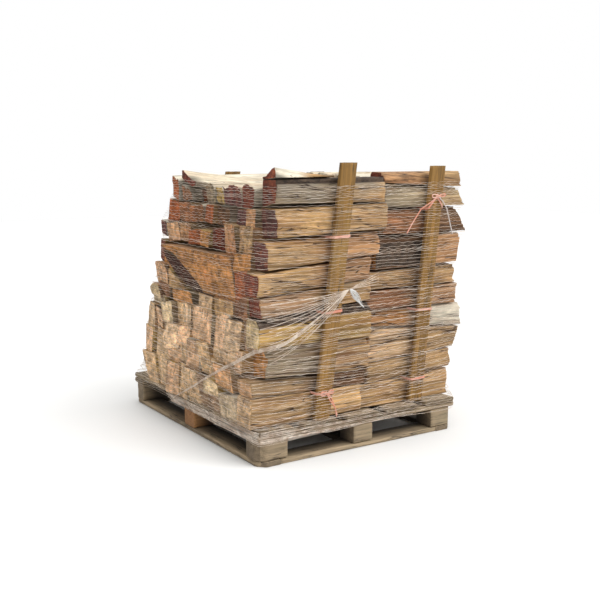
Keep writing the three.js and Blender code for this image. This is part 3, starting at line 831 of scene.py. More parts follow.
class Shader:
    """A node material with short ways to add what every surface here needs."""

    def __init__(self, name):
        self.material = bpy.data.materials.new(name)
        self.material.use_nodes = True
        self.tree = self.material.node_tree
        self.surface = self.tree.nodes["Principled BSDF"]

    def node(self, kind, inputs=(), **settings):
        made = self.tree.nodes.new(kind)
        for key, value in settings.items():
            setattr(made, key, value)
        for key, value in dict(inputs).items():
            self.put(made.inputs[key], value)
        return made

    def put(self, socket, value):
        if isinstance(value, bpy.types.NodeSocket):
            self.tree.links.new(value, socket)
        else:
            socket.default_value = value

    def place(self, scale, name=None):
        """Object coordinates, or a piece's own grain coordinates, stretched by scale."""
        here = self.value(name) if name else self.node("ShaderNodeTexCoord").outputs["Object"]
        return self.vector("MULTIPLY", here, scale)

    def value(self, name):
        return self.node("ShaderNodeAttribute", attribute_name=name).outputs["Vector"]

    def part(self, vector, axis):
        return self.node("ShaderNodeSeparateXYZ", {0: vector}).outputs[axis]

    def noise(self, where, detail=3.0, rough=0.55, twist=0.0):
        inputs = {"Vector": where, "Scale": 1.0, "Detail": detail, "Roughness": rough, "Distortion": twist}
        return self.node("ShaderNodeTexNoise", inputs).outputs[0]

    def grain(self, scale, *look):
        """Noise that follows a piece's own grain."""
        return self.noise(self.place(scale, "grain"), *look)

    def seam(self, value):
        """How far a value is from a half, which is near nothing along thin lines of a noise."""
        return self.math("ABSOLUTE", self.math("SUBTRACT", value, 0.5))

    def ramp(self, value, low, high, bottom=0.0, top=1.0):
        inputs = {0: value, 1: low, 2: high, 3: bottom, 4: top}
        return self.node("ShaderNodeMapRange", inputs).outputs[0]

    def math(self, operation, a, b=0.0):
        return self.node("ShaderNodeMath", {0: a, 1: b}, operation=operation).outputs[0]

    def vector(self, operation, a, b=None, output=0):
        inputs = {0: a} if b is None else {0: a, 1: b}
        return self.node("ShaderNodeVectorMath", inputs, operation=operation).outputs[output]

    def mix(self, share, a, b, blend="MIX"):
        made = self.node("ShaderNodeMix", data_type="RGBA", blend_type=blend)
        for index, value in ((0, share), (6, a), (7, b)):
            self.put(made.inputs[index], value)
        return made.outputs[2]

    def shade(self, colour, low, high, value, spread=0.25):
        """A colour made darker and lighter by a value that varies around a half."""
        grey = self.ramp(value, 0.5 - spread, 0.5 + spread, low, high)
        level = self.node("ShaderNodeCombineColor", {0: grey, 1: grey, 2: grey}).outputs[0]
        return self.mix(1.0, colour, level, "MULTIPLY")

    def bump(self, height, strength, distance):
        inputs = {"Height": height, "Strength": strength, "Distance": distance}
        self.put(self.surface.inputs["Normal"], self.node("ShaderNodeBump", inputs).outputs[0])

    def done(self, colour, rough):
        self.put(self.surface.inputs["Base Color"], colour)
        self.put(self.surface.inputs["Roughness"], rough)
        return self.material


def colour4(colour):
    return (*linear(colour), 1.0)


def split_face(s, grey, streak, grain):
    """The colour of a split face: layers, streaks, stains, weathered patches and cracks."""
    layer = s.grain((1.8, 26, 26), 2, 0.5, 0.5)
    patch = s.grain((4.0, 9, 9), 2)
    stain = s.grain((3.2, 14, 14), 3, 0.6)
    face = s.shade(s.value("tone"), 0.55, 1.28, layer, 0.2)
    face = s.shade(face, 0.55, 1.25, streak, 0.16)
    face = s.shade(face, 0.72, 1.18, grain, 0.16)
    face = s.mix(s.ramp(stain, 0.48, 0.7, 0.0, 0.55), face, colour4(STAIN))
    weather = s.math("MULTIPLY", s.ramp(patch, 0.42, 0.68), grey)
    face = s.mix(weather, face, colour4(WEATHERED))
    line = s.seam(s.grain((1.3, 38, 38), 2, 0.45, 0.25))
    crack = s.math("MULTIPLY", s.ramp(line, 0.004, 0.03, 0.95, 0.0), s.ramp(patch, 0.3, 0.5))
    face = s.mix(crack, face, colour4(CRACK))
    return s.mix(s.ramp(grey, -1.0, 0.0, 0.4, 0.0), face, s.value("tone"))


def sawn_end(s):
    """The colour of a sawn end: rust on the upper courses, blotches, growth rings, drying splits and soot."""
    pith = s.value("pith")
    away = s.vector("LENGTH", pith, output="Value")
    wobble = s.grain((10, 26, 26), 3)
    rings = s.math("SINE", s.math("ADD", s.math("MULTIPLY", away, 1150.0), s.math("MULTIPLY", wobble, 14.0)))
    blotch = s.grain((20, 34, 34), 4, 0.6, 0.5)
    fleck = s.grain((60, 30, 130), 4, 0.65, 0.4)
    drift = s.noise(s.place((6, 9, 9)), 4, 0.65)
    high = s.ramp(s.part(s.place((1, 1, 1)), 2), 0.52, 0.7)
    rust = s.math("MULTIPLY", s.ramp(drift, 0.5, 0.7, 0.0, 0.5), high)
    sawn = s.mix(rust, s.value("end_tone"), colour4(RUSTY_END))
    sawn = s.shade(sawn, 0.72, 1.22, drift, 0.18)
    sawn = s.shade(sawn, 0.42, 1.36, blotch, 0.18)
    sawn = s.shade(sawn, 0.55, 1.3, fleck, 0.18)
    sawn = s.shade(sawn, 0.82, 1.12, s.ramp(rings, -1.0, 1.0, 0.25, 0.75))
    split = s.noise(s.vector("MULTIPLY", s.vector("NORMALIZE", pith), (9, 9, 9)), 2)
    sawn = s.mix(s.ramp(split, 0.62, 0.7, 0.0, 0.65), sawn, colour4(END_SPLIT))
    soot_and_painted_shade = s.ramp(s.grain((14, 9, 22), 4, 0.65), 0.5, 0.72, 0.0, 0.6)
    return s.mix(soot_and_painted_shade, sawn, colour4(SOOT))


def log_material():
    s = Shader("split_firewood")
    marks = s.value("marks")
    bark, end, grey = (s.part(marks, axis) for axis in range(3))
    streak = s.grain((3.2, 80, 80), 5, 0.65, 0.4)
    grain = s.grain((10, 300, 300), 4, 0.65)
    plates = s.grain((28, 70, 70), 5, 0.7, 0.6)
    skin = s.mix(s.ramp(plates, 0.36, 0.66), colour4(BARK_DARK), colour4(BARK_LIGHT))
    side = s.mix(bark, split_face(s, grey, streak, grain), skin)
    height = s.math("ADD", s.math("MULTIPLY", streak, 0.6), s.math("MULTIPLY", grain, 0.4))
    height = s.math("ADD", height, s.math("MULTIPLY", s.math("MULTIPLY", plates, bark), 1.6))
    s.bump(height, 0.55, 0.003)
    return s.done(s.mix(end, side, sawn_end(s)), 0.88)


def board_material(name, along, tone, dark, pale):
    """Sawn timber with its grain along one axis."""
    s = Shader(name)

    def stretched(long, wide):
        return tuple(long if axis == along else wide for axis in range(3))

    streak = s.grain(stretched(2.5, 40), 4, 0.6, 0.5)
    grain = s.grain(stretched(8, 260), 4, 0.65)
    patch = s.grain((7, 7, 7), 4, 0.6)
    wood = s.shade(colour4(tone), 0.62, 1.22, streak, 0.2)
    wood = s.shade(wood, 0.7, 1.2, grain, 0.2)
    line = s.seam(s.grain(stretched(2.2, 60), 2, 0.5, 0.3))
    crack = s.math("MULTIPLY", s.ramp(line, 0.004, 0.022, 0.9, 0.0), s.ramp(patch, 0.38, 0.52))
    wood = s.mix(crack, wood, colour4(CRACK_AND_PAINTED_SHADE))
    wood = s.mix(s.ramp(patch, 0.5, 0.75, 0.0, 0.7), wood, colour4(dark))
    wood = s.mix(s.ramp(s.grain((5, 5, 5), 3), 0.52, 0.75, 0.0, 0.5), wood, colour4(pale))
    # The second mark darkens the sawn ends. The third is painted shade, which darkens the faces inside the
    # pallet for the shade in there.
    marks = s.value("marks")
    wood = s.mix(s.math("MULTIPLY", s.part(marks, 1), 0.5), wood, colour4(dark))
    wood = s.mix(s.math("MULTIPLY", s.part(marks, 2), 0.85), wood, colour4(CRACK_AND_PAINTED_SHADE))
    s.bump(s.math("ADD", streak, s.math("MULTIPLY", grain, 0.6)), 0.4, 0.0015)
    return s.done(wood, 0.85)


def twine_material():
    s = Shader("pink_twine")
    fibre = s.noise(s.place((900, 900, 900)), 3)
    fade = s.noise(s.place((14, 14, 14)), 2)
    faded = s.mix(s.ramp(fade, 0.4, 0.65, 0.0, 0.45), s.value("tone"), colour4(FADED_TWINE))
    s.bump(fibre, 0.5, 0.0008)
    return s.done(s.shade(faded, 0.78, 1.12, fibre), 0.8)


def net_material():
    s = Shader("white_net")
    fade = s.noise(s.place((30, 30, 30)), 3)
    white = s.mix(s.ramp(fade, 0.35, 0.65), colour4(NET_DUSTY), colour4(NET_WHITE))
    return s.done(white, 0.5)


def film_material():
    s = Shader("net_tail_film")
    crease = s.noise(s.place((160, 60, 160)), 4)
    s.bump(crease, 0.7, 0.002)
    return s.done(s.shade(colour4(FILM), 0.85, 1.08, crease), 0.35)


# Logs


def log_depth(log, draw, seed):
    """How deep the surface of a log lies under its outline: bowed sides, torn ridges and rough bark."""
    calm = 0.6 if log.front else 0.4
    corners = log.corners[0]
    sides = 2 * len(corners)
    inset = np.array([0.6 + calm * 5.0 * next(draw) ** 2 for _ in range(sides)])
    bow = np.array([calm * 7.0 * next(draw) for _ in range(sides)])
    bark_sides = np.zeros(sides)
    bark_sides[list(BARK_SIDES.get(log.bark, ()))] = 1
    log.tilt = GRAIN_TILT * (next(draw) - 0.5)
    on_top = corners[:, 2].max() > TOP_COURSE and not log.front
    stout = smooth_step(30, 100, np.ptp(corners[:, 1:], axis=0).min())
    torn = np.full(sides, 0.3 + 0.8 * stout if on_top else 0.3)
    crown = TOP_CROWN * stout if on_top else 0.0
    if log.front:
        torn[list(FRONT_SIDES)] = 1.0
        inset[FRONT_SIDE] = 0.5
        inset[BOTTOM_SIDE:UPPER_EDGE] *= 0.5
    bend, fold = 3 + 15 * next(draw), 0.25 + 0.5 * next(draw)

    def facet(side, share, along):
        """Two flats on the front, which meet in a line along the log."""
        down = np.where(side == FRONT_SIDE, share, np.where(side == UPPER_EDGE, 0.0, 1.0))
        line = fold + swing(0.3, along / 300, 7.0, seed)
        return np.where(np.isin(side, FRONT_SIDES), bend * np.abs(down - line), 0.0)

    def rearward(side, share):
        """How near a place on the bottom or the top of a front log is to its rear, from 0 to 1."""
        rest = np.where(side == TOP_SIDE, 1 - share, np.isin(side, REAR_SIDES))
        return np.where(side == BOTTOM_SIDE, share, rest)

    def depth(side, share, way, along):
        flat = inset[side] + bow[side] * 4 * share * (1 - share) * noise(along / 210, side * 3.7, seed)
        off = way + log.tilt * along
        ridge = relief(RIDGE, off, along, seed + 1) + relief(FINE_RIDGE, way, along, seed + 2)
        layer = relief(LAYER, off, along, seed + 3)
        for low, high in LAYER_STEPS:
            ridge = ridge + LAYER_DEEP * smooth_step(low, high, layer)
        tear = np.abs(relief(TEAR, off, along, seed + 6) - 0.5)
        ridge = ridge + TEAR_DEEP * smooth_step(0.05, 0.0, tear)
        crust = relief(CRUST, way, along, seed + 4) + relief(FINE_CRUST, way, along, seed + 5)
        if log.front:
            flat = flat + facet(side, share, along)
        rounded = crown * np.where(side % 2 == 0, 1.0, (2 * share - 1) ** 4)
        whole = flat + rounded + torn[side] * np.where(bark_sides[side] > 0, crust, ridge)
        return whole * (1 - REAR_CLOSED * rearward(side, share)) if log.front else whole

    return depth, bark_sides


def choose(names, draw):
    return names[int(next(draw) * len(names)) % len(names)]


def dress_log(log, draw):
    """Fills in what the layout leaves open: tones, bark, and a slight tilt of the sawn ends."""
    middle = 0.5 * (log.corners[0].mean(0) + log.corners[1].mean(0))
    on_top = middle[2] > TOP_COURSE
    if log.tones is None:
        tone = choose(FACE_TONES, draw)
        if on_top:
            tone = TOP_TONES[FACE_TONES.index(tone) % len(TOP_TONES)]
        log.tones = (tone, tone)
        dark = smooth_step(*DARKER, middle[2]) * DARK_SHARE[1] + DARK_SHARE[0]
        end_tone = choose(DARK_ENDS if next(draw) < dark else LIGHT_ENDS, draw)
        log.end = log.end or ("cream" if on_top else end_tone)
        bark = choose(BARK_CHOICE, draw)
        log.bark = "" if on_top else bark
    most = FRONT_END_TILT if log.front else INNER_END_TILT
    for i, corners in enumerate(log.corners):
        if log.node.startswith("logs_far"):
            corners[:, 0] += (1 - 2 * i) * END_SHIFT * (next(draw) - 0.3)
        tilt = np.array([next(draw) - 0.5, next(draw) - 0.5]) * most
        away = corners[:, 1:] - corners[:, 1:].mean(0)
        corners[:, 0] += away @ tilt
    return middle


def log_mesh(log, number, draw):
    """The points and faces of a log, whether each point is on an end, and its share of bark."""
    more = FRONT_EDGE_MORE if log.front else INNER_EDGE_MORE
    cuts = [max(cut, EDGE_CUT + more * next(draw)) for cut in log.cuts]
    start, end = (cut_corners(corners, cuts) for corners in log.corners)
    depth, bark_sides = log_depth(log, draw, 100 + 11 * number)
    farthest = log.corners[0].max(0)
    hidden = farthest[1] < REAR_SEEN and farthest[2] < TOP_COURSE
    steps = HIDDEN_STEPS if hidden else SHOWN_STEPS
    end_rough = INNER_END_ROUGH
    if log.front:
        steps = FRONT_STEPS
        end_rough = FRONT_END_ROUGH
    points, faces, side = timber(start, end, *steps, depth, end_rough, 40 + number)
    return points, faces, side < 0, np.where(side < 0, 0, bark_sides[side])


def painted_shade_near_ends(points, height):
    """Painted shade: how much darker the sides of an inner log are painted near its ends and below its top,
    for the shadow in the gaps under what lies over them.
    """
    x, z = points[:, 0], points[:, 2]
    cover = PAINTED_SHADE_COVER_TOP if height > TOP_COURSE else PAINTED_SHADE_COVER
    soot_and_painted_shade = PAINTED_SHADE_SHARE[0] + (PAINTED_SHADE_SHARE[1] - PAINTED_SHADE_SHARE[0]) * smooth_step(*PAINTED_SHADE_STARTS, height)
    from_end = np.minimum(x - x.min(), x.max() - x)
    return soot_and_painted_shade * smooth_step(*cover, z.max() - z) * smooth_step(*PAINTED_SHADE_LONG, from_end)


def log_values(log, number, middle, points, is_end, bark, draw):
    """The point values that the log material reads. A grey of -1 marks the bleached logs on the top."""
    grey = 1.0 if log.front and log.tones[0] == "grey" else MOST_GREY * next(draw)
    if middle[2] > TOP_COURSE and not log.front:
        grey = -1.0
    x = points[:, 0]
    along = (x - x.min()) / np.ptp(x)
    if log.bark == "front left":
        bark = bark * smooth_step(*BARK_STOPS, along)
    light = LEAST_LIGHT + MORE_LIGHT * next(draw)
    left, right = (linear(TONES[name]) for name in log.tones)
    tone = (left + (right - left) * smooth_step(*TONE_CHANGE, along)[:, None]) * light
    pale = 0.0
    if not log.front:
        # Painted shade on the sides near the ends, for the shadow in the gaps between the logs.
        tone = tone * (1 - painted_shade_near_ends(points, middle[2]))[:, None]
        pale = 1 - smooth_step(*BLEACH_ENDS, middle[2])
    bleach = BLEACH_SHARE * pale
    end_tone = linear(TONES[log.end]) * (1 - bleach) + bleach * linear(BLEACHED)
    pith = points - middle - np.array([0, *(PITH_SPREAD * (next(draw) - 0.5) for _ in range(2))])
    pith[:, 0] = 0
    bend = log.tilt * (x - middle[0]) + GRAIN_BEND * noise(x / 170, number, 61)
    grain = points + np.stack([np.zeros(len(points)), bend, bend], 1)
    return {
        "tone": tone,
        "end_tone": end_tone * light * (1 + BLEACH_LIGHT * pale),
        "marks": np.stack([bark, is_end, np.full(len(points), grey)], 1),
        "pith": pith * MM,
        "grain": grain * MM + own_place(draw),
    }


def log_pieces(material):
    """Makes the logs, those of one node as one piece, and returns all their points."""
    pieces = {}
    cloud = []
    draw = stream(71)
    for number, log in enumerate(lay_out_logs()):
        middle = dress_log(log, draw)
        points, faces, is_end, bark = log_mesh(log, number, draw)
        piece = pieces.setdefault(log.node, Piece("firewood_" + log.node))
        piece.add(points, faces, **log_values(log, number, middle, points, is_end, bark, draw))
        cloud.append(points)
    for node, piece in pieces.items():
        piece.finish(material, "split_wood", node)
    return np.concatenate(cloud)


# Pallet


def box_outlines(node, along):
    """The end outlines of a box-shaped node, as (along, across, up) in the order of its axes."""
    low, high = (np.array(corner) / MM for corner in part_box(node))
    across, up = (along + 1) % 3, (along + 2) % 3
    outlines = []
    for place in (low[along], high[along]):
        outlines.append(np.array([
            (place, low[across], low[up]),
            (place, high[across], low[up]),
            (place, high[across], high[up]),
            (place, low[across], high[up]),
        ]))
    return outlines


def turn_axes(points, along):
    """From (along, across, up) back to x, y and z."""
    turned = np.empty_like(points)
    for i in range(3):
        turned[:, (along + i) % 3] = points[:, i]
    return turned


def trim_corner(points, half, cut):
    """Cuts the pallet's four outer corners off upright, as on its corner blocks and side base boards."""
    for sign_x, sign_y in ((-1, -1), (-1, 1), (1, -1), (1, 1)):
        over = sign_x * points[:, 0] + sign_y * points[:, 1] - (half[0] + half[1] - cut)
        over = np.maximum(over, 0) / 2
        points[:, 0] -= sign_x * over
        points[:, 1] -= sign_y * over
    return points


def board_piece(node, along, material, seed, corner_cut=0):
    draw = stream(seed)
    start, end = (cut_corners(outline, [1.5 + 2.5 * next(draw) for _ in range(4)])
                  for outline in box_outlines(node, along))

    def depth(side, share, way, along_mm):
        worn = relief(BOARD_WORN, way, along_mm, seed) + relief(BOARD_GRAIN, way, along_mm, seed + 1)
        chipped = BOARD_CHIP_DEEP * smooth_step(0.55, 0.85, relief(BOARD_CHIP, way, along_mm, seed + 2))
        return 0.2 + worn + np.where(side % 2 == 0, chipped, 0)

    points, faces, side = timber(start, end, *BOARD_STEPS, depth, 0.5, seed)
    points = turn_axes(points, along)
    if corner_cut:
        points = trim_corner(points, PALLET_HALF, corner_cut)
    piece = Piece("pallet_" + node)
    # Painted shade: the faces inside the pallet, below the deck and away from its outer edge, are darkened for
    # the shade in there.
    edge = np.maximum(np.abs(points[:, 0]) / PALLET_HALF[0], np.abs(points[:, 1]) / PALLET_HALF[1])
    painted_inner_shade = smooth_step(0.99, 0.84, edge) * (points[:, 2] < DECK_TOP - 4)
    marks = np.stack([np.zeros(len(points)), side < 0, painted_inner_shade], 1)
    piece.add(points, faces, marks=marks, grain=points * MM + own_place(draw))
    piece.finish(material, "pallet_wood", node)
    return points


def pallet_pieces():
    """Makes the pallet's boards and blocks, and returns the points of all but its base."""
    grey = [board_material(f"pallet_wood_{'xy'[axis]}", axis, *PALLET_GREY) for axis in (0, 1)]
    fresh = board_material("pallet_block_inner", 0, *PALLET_FRESH)
    deck = []
    seeds = itertools.count(307, 7)
    for i in range(5):
        deck.append(board_piece(f"deck_board_{i + 1}", 1, grey[1], next(seeds)))
    for place in ("front", "middle", "back"):
        deck.append(board_piece(f"stringer_{place}", 0, grey[0], next(seeds)))
        look = fresh if place == "middle" else grey[0]
        for side in ("left", "centre", "right"):
            cut = PALLET_CORNER if side != "centre" and place != "middle" else 0
            deck.append(board_piece(f"block_{place}_{side}", 0, look, next(seeds), cut))
    for place, along in (("left", 1), ("right", 1), ("front", 0), ("back", 0), ("centre", 1)):
        cut = PALLET_CORNER if place in ("left", "right") else 0
        board_piece(f"base_board_{place}", along, grey[along], next(seeds), cut)
    return np.concatenate(deck)


# Slats


def slat_x(slat, z):
    return slat["x"] + slat["lean"] * (z - DECK_TOP)


def slat_front_y(slat):
    return ROWS[slat["row"]]["front"] - SLAT_GAP - SLAT_THICK


def slat_back_y(z):
    return line_through(BACK_PROFILE[2], BACK_PROFILE[4], z) + SLAT_GAP


def slat_piece(i, place, material):
    slat = SLATS[i]
    seed = 700 + 20 * i + (9 if place == "back" else 0)
    draw = stream(seed)
    half = SLAT_WIDE / 2
    outlines = []
    for z in (DECK_TOP + 1, slat["top"][place]):
        x = slat_x(slat, z)
        y = slat_front_y(slat) if place == "front" else slat_back_y(z)
        corners = np.array([(z, x - half, y), (z, x + half, y), (z, x + half, y + SLAT_THICK),
                            (z, x - half, y + SLAT_THICK)])
        outlines.append(cut_corners(corners, [1.2] * 4))

    def depth(side, share, way, along):
        return 0.2 + relief(SLAT_GRAIN, way, along, seed) + relief(SLAT_WORN, way, along, seed + 1)

    points, faces, side = timber(*outlines, *SLAT_STEPS, depth, 0.8, seed)
    points = turn_axes(points, 2)
    piece = Piece(f"tied_slat_{place}_{i + 1}")
    marks = np.stack([np.zeros(len(points)), side < 0, np.zeros(len(points))], 1)
    grain = points * MM + own_place(draw)
    grain[:, 0] -= slat["lean"] * points[:, 2] * MM
    piece.add(points, faces, marks=marks, grain=grain)
    piece.finish(material, "slat_wood", f"slat_{place}_{i + 1}")
    return points


def slat_pieces(material):
    return np.concatenate([slat_piece(i, place, material) for i in range(len(SLATS))
                           for place in ("front", "back")])


# Twine


def smooth_path(corners, step, closed, passes=3):
    """Even points along straight runs, with the corners eased."""
    corners = np.array(corners, float)
    ends = np.roll(corners, -1, 0) if closed else corners[1:]
    points = []
    for a, b in zip(corners, ends):
        count = max(1, int(np.linalg.norm(b - a) / step))
        points.extend(a + (b - a) * k / count for k in range(count))
    if not closed:
        points.append(corners[-1])
    points = np.array(points)
    for _ in range(passes):
        eased = soften(points)
        if not closed:
            eased[0], eased[-1] = points[0], points[-1]
        points = eased
    return points


def tube(points, radius, sides, closed=False):
    """A cord of twisted plies along points. The plies stand out as ridges."""
    count = len(points)
    way = np.roll(points, -1, 0) - np.roll(points, 1, 0)
    if not closed:
        way[0], way[-1] = points[1] - points[0], points[-1] - points[-2]
    way = unit(way)
    helper = np.where(np.abs(way[:, 2:]) > 0.8, np.array([[0.0, 1.0, 0.0]]), np.array([[0.0, 0.0, 1.0]]))
    right = unit(np.cross(way, helper))
    up = np.cross(right, way)
    angle = np.linspace(0, 2 * np.pi, sides, endpoint=False)[None, :]
    reach = radius * (1 + PLY_HIGH * np.cos(PLIES * angle + PLY_TWIST * distances(points)[:, None]))
    ring = (points[:, None] + right[:, None] * (reach * np.cos(angle))[..., None]
            + up[:, None] * (reach * np.sin(angle))[..., None])
    faces = [(r * sides + i, n * sides + i, n * sides + j, r * sides + j)
             for r, n in neighbours(count, closed) for i, j in neighbours(sides)]
    if not closed:
        faces.append(tuple(range(sides)))
        faces.append(tuple(range(count * sides - 1, (count - 1) * sides - 1, -1)))
    return ring.reshape(-1, 3), faces


def tie_corners(slat, course, lift):
    """Where a tie turns on its way around a pair of slats, and the place of its knot."""
    row = ROWS[slat["row"]]
    top = course_top(row, course, slat["x"])
    centre = slat_x(slat, top)
    reach = SLAT_WIDE / 2 + TWINE
    front = slat_front_y(slat) - TWINE / 2 - TWINE_GAP
    height = [course_top(row, course, centre + side * reach) - CLEARANCE - TWINE for side in (-1, 1)]
    rear = slat_back_y(top) + SLAT_THICK + TWINE
    knot = (centre + slat["lean"] * lift, front, 0.5 * sum(height) + lift)
    return knot, [(centre - reach, front, height[0]), knot, (centre + reach, front, height[1]),
                  (centre + reach, rear, height[1]), (centre - reach, rear, height[0])]


def tie_piece(i, tie, material):
    place, course, lift = tie
    piece = Piece(f"twine_loop_{i + 1}_{place}")
    knot, corners = tie_corners(SLATS[i], course, lift)
    for wrap in range(WRAPS):
        moved = [(x, y - 0.3 * wrap, z + WRAP_PITCH * (wrap - 1)) for x, y, z in corners]
        points = smooth_path(moved, LOOP_STEP, True)
        points[:, 2] += swing(1.6, points[:, 0] / 18, points[:, 1] / 40, 50 + wrap)
        piece.add(*tube(points, WRAP_RADIUS, 6, True), tone=linear(PINK))
    for number, path in enumerate(TIE_ENDS.get((i + 1, place), ())):
        placed = [(knot[0] + dx, knot[1] - 3 - dy, knot[2] + dz) for dx, dy, dz in path]
        tone = PALE_TWINE if (i, number) == PALE_END else PINK
        piece.add(*tube(smooth_path(placed, LOOSE_STEP, False, 8), LOOSE_RADIUS, 7), tone=linear(tone))
    piece.finish(material, "twine", f"twine_{i + 1}_{place}")
    return np.concatenate(piece.points)


def twine_pieces(material):
    return np.concatenate([tie_piece(i, tie, material) for i, slat in enumerate(SLATS)
                           for tie in slat["ties"]])


# Net


def net_reach(cloud, levels):
    """How far the taut net stands from the pile's middle, for each level and each of its points around."""
    turns = np.linspace(0, 2 * np.pi, NET_TURNS, endpoint=False)
    normals = np.stack([np.cos(turns), np.sin(turns)], 1)
    flat = cloud[:, :2] - np.array(NET_CENTRE)
    support = np.full((len(levels), len(turns)), -1e9)
    band = 0.5 * (levels[1] - levels[0]) + 2
    for i, z in enumerate(levels):
        near = flat[np.abs(cloud[:, 2] - z) < band]
        if len(near):
            support[i] = (near @ normals.T).max(0)
    gap = np.abs(levels[:, None] - levels[None, :])
    support = (support[None] - NET_DRAW_IN * gap[..., None]).max(1)
    around = np.linspace(0, 2 * np.pi, NET_AROUND, endpoint=False)
    facing = np.cos(turns[None] - around[:, None])
    scale = np.where(facing > 0.15, 1 / np.maximum(facing, 0.15), np.inf)
    return around, (support[:, None, :] * scale[None]).min(2)


class NetSurface:
    """The taut surface that every strand of the net lies on."""

    def __init__(self, cloud):
        self.levels = np.arange(NET_LOW - 24, NET_HIGH + 40, NET_LEVEL)
        self.around, self.reach = net_reach(cloud, self.levels)

    def place(self, turn, z, out=0.0):
        """Points at angles and heights, a little outside the surface."""
        turn, z = np.broadcast_arrays(turn, z)
        row = np.clip((z - self.levels[0]) / NET_LEVEL, 0, len(self.levels) - 1.001)
        column = (turn % (2 * np.pi)) / (2 * np.pi) * NET_AROUND
        r0, c0 = np.floor(row).astype(int), np.floor(column).astype(int)
        fr, fc = row - r0, column - c0
        c0, c1 = c0 % NET_AROUND, (c0 + 1) % NET_AROUND
        low = self.reach[r0, c0] * (1 - fc) + self.reach[r0, c1] * fc
        high = self.reach[r0 + 1, c0] * (1 - fc) + self.reach[r0 + 1, c1] * fc
        reach = low * (1 - fr) + high * fr + out
        x = NET_CENTRE[0] + reach * np.cos(turn)
        y = NET_CENTRE[1] + reach * np.sin(turn)
        return np.stack([x, y, z], -1)

    def over(self, point):
        """The angle of a point around the pile, from 0 down to minus a full turn, and its height."""
        turn = math.atan2(point[1] - NET_CENTRE[1], point[0] - NET_CENTRE[0])
        return turn - 2 * math.pi if turn > 0 else turn, point[2]


def strand_mesh(points, half_high, half_deep, closed=False):
    """A strand of three sides along points."""
    count = len(points)
    outward = points - np.array([*NET_CENTRE, 0])
    outward[:, 2] = 0
    outward = unit(outward)
    up = np.array([[0, 0, 1.0]])
    ring = np.stack([points + outward * half_deep, points - outward * half_deep + up * half_high,
                     points - outward * half_deep - up * half_high], 1)
    faces = [(r * 3 + i, r * 3 + j, n * 3 + j, n * 3 + i)
             for r, n in neighbours(count, closed) for i, j in neighbours(3)]
    if not closed:
        faces.append((2, 1, 0))
        faces.append((count * 3 - 3, count * 3 - 2, count * 3 - 1))
    return ring.reshape(-1, 3), faces


def net_piece(surface, material, name, levels, wide, seed, *nodes):
    """Strands around the whole pile at the given levels."""
    piece = Piece(name)
    turn = surface.around
    flat = surface.place(turn, np.full(NET_AROUND, 600.0))
    way = distances(flat)
    draw = stream(seed)
    for i, z in enumerate(levels):
        drift = swing(26, way / 420, i * 0.3, seed) + swing(7, way / 90, i * 1.7, seed + 1)
        waves = way / NET_WAVE + 0.5 * (i % 2) + 0.5 * noise(way / 300, i, seed + 2)
        zigzag = np.abs((waves % 1) * 2 - 1) - 0.5
        strong = 0.1 + 0.5 * noise(way / 260, i * 0.2, seed + 3)
        points = surface.place(turn, z + drift + strong * NET_PITCH * zigzag, NET_OUT)
        piece.add(*strand_mesh(points, wide * (0.6 + 0.8 * next(draw)), NET_DEEP, True))
    piece.finish(material, "net", *nodes)


def gather_piece(surface, material):
    """The gathered edge: strands that run together from the left side and the front to the net's knot."""
    piece = Piece("net_gathered_edge")
    knot_turn, knot_z = surface.over(NET_GATHER)
    path_turn, path_z = np.array([surface.over(point) for point in GATHER_PATH]).T
    corner_turn = path_turn[GATHER_CORNER]
    draw = stream(91)

    def lay(turns, heights, out, half_high):
        piece.add(*strand_mesh(surface.place(turns, heights, out), half_high, 0.5))

    turns = np.linspace(path_turn[0], path_turn[-1], 120)
    heights = np.interp(turns, path_turn, path_z)
    width = np.interp(turns, [path_turn[0], corner_turn, path_turn[-1]], [0.15, 1, 0.1])
    for k in range(GATHER_STRANDS):
        spread = (k - GATHER_STRANDS // 2) * GATHER_PITCH * width + 1.5 * next(draw)
        lay(turns, heights + spread + swing(3, turns * 5, k * 1.3, 23), 2.2 + next(draw), 0.8)
    for k in range(FAN_STRANDS):
        turns = np.linspace(corner_turn + 0.02 + 0.1 * next(draw), knot_turn, 46)
        start_z = FAN_LOW + FAN_PITCH * k + 14 * next(draw)
        heights = start_z + (knot_z - start_z) * np.linspace(0, 1, 46) ** 1.25
        lay(turns, heights, 2.0 + next(draw), 1.1)
    turns = np.linspace(knot_turn, knot_turn + BEYOND_TURN, 24)
    for k in range(BEYOND_STRANDS):
        heights = knot_z + (34 + 12 * (k - BEYOND_STRANDS // 2)) * np.linspace(0, 1, 24)
        lay(turns, heights, 2.0 + next(draw), 1.1)
    for k in range(EDGE_STRANDS):
        first, last = EDGE_START - 0.1 * next(draw), EDGE_CORNER + EDGE_FRONT * next(draw) ** 1.5
        turns = np.linspace(first, last, 150)
        base = EDGE_LOW + (EDGE_HIGH - EDGE_LOW) * next(draw) ** 2.2
        sag = swing(20, turns * 2.2, k * 2.1, 37) + swing(6, turns * 9, k * 3.3, 38)
        lay(turns, base + sag, 1.5 + 2 * next(draw), 0.7)
    piece.finish(material, "net")


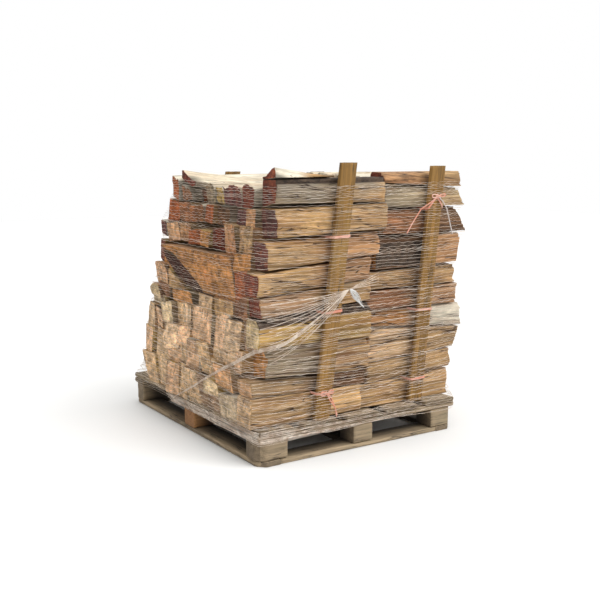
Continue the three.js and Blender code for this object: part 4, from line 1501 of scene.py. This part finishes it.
def tail_piece(surface, material):
    """The loose tail of the knot, a tuft of bunched net."""
    piece = Piece("net_loose_tail")
    knot_turn, knot_z = surface.over(NET_GATHER)
    anchor = surface.place(np.array([knot_turn]), np.array([knot_z]), 4.0)[0]
    draw = stream(97)
    share = np.linspace(0, 1, 16)
    swell = np.sin(np.pi * np.minimum(share * 1.1, 1)) ** 0.7
    for _ in range(TAIL_STRANDS):
        across, out, reach = (next(draw) - 0.5 for _ in range(3))
        length = 1 + 0.5 * reach
        fold = swing(5, share * 5, 40 * across, 41) * share
        x = anchor[0] + TAIL_RIGHT * share * length + 18 * across * swell + fold
        z = anchor[2] - TAIL_DOWN * share * length + 22 * across * swell - 10 * share ** 2 + fold
        y = anchor[1] - 4 - 7 * swell * (0.5 + out)
        piece.add(*strand_mesh(np.stack([x, y, z], 1), 1.5, 0.6))
    piece.finish(material, "net")


# Stage


def floor():
    mesh = bpy.data.meshes.new("floor")
    corners = [(x * FLOOR_HALF, y * FLOOR_HALF, 0) for x, y in ((-1, -1), (1, -1), (1, 1), (-1, 1))]
    mesh.from_pydata(corners, [], [(0, 1, 2, 3)])
    mesh.materials.append(Shader("pale_floor").done(FLOOR_COLOUR, 0.9))
    link("floor", mesh)


def sky():
    """A white backdrop that lights the scene at less than its own strength."""
    scene = bpy.context.scene
    scene.view_settings.view_transform = "Standard"
    scene.world = bpy.data.worlds.new("studio")
    scene.world.use_nodes = True
    nodes = scene.world.node_tree.nodes
    light = nodes["Background"]
    light.inputs["Color"].default_value = WHITE
    light.inputs["Strength"].default_value = SKY_STRENGTH
    backdrop = nodes.new("ShaderNodeBackground")
    backdrop.inputs["Color"].default_value = WHITE
    seen = nodes.new("ShaderNodeLightPath")
    either = nodes.new("ShaderNodeMixShader")
    sources = (seen.outputs["Is Camera Ray"], light.outputs[0], backdrop.outputs[0])
    for source, socket in zip(sources, either.inputs):
        scene.world.node_tree.links.new(source, socket)
    scene.world.node_tree.links.new(either.outputs[0], nodes["World Output"].inputs["Surface"])


def suns():
    for name, toward, power in SUNS:
        lamp = bpy.data.lights.new(name, "SUN")
        lamp.energy = power
        lamp.angle = math.radians(SUN_SPREAD)
        flat = math.hypot(toward[0], toward[1])
        link(name, lamp).rotation_euler = (math.atan2(flat, toward[2]), 0, math.atan2(toward[0], -toward[1]))


def camera():
    data = bpy.data.cameras.new("photo_view")
    data.lens = CAMERA_LENS
    data.sensor_width = CAMERA_SENSOR
    data.sensor_fit = "HORIZONTAL"
    data.clip_end = 200
    eye = link("photo_view", data)
    eye.location = CAMERA_PLACE
    eye.rotation_euler = (math.radians(90 - CAMERA_ELEVATION), 0, math.radians(-CAMERA_AZIMUTH))
    bpy.context.scene.camera = eye


camera()
floor()
sky()
suns()
cloud = [
    log_pieces(log_material()),
    pallet_pieces(),
    slat_pieces(board_material("slat_pine", 2, *SLAT_PINE)),
    twine_pieces(twine_material()),
]
surface = NetSurface(np.concatenate(cloud))
strands = net_material()
net_piece(surface, strands, "net_strands", np.arange(NET_LOW, NET_HIGH, NET_PITCH), NET_WIDE, 83, "net")
net_piece(surface, strands, "net_strands_bunched", np.arange(*BUNCHED), BUNCHED_WIDE, 183)
gather_piece(surface, strands)
tail_piece(surface, film_material())

bpy.context.view_layer.update()
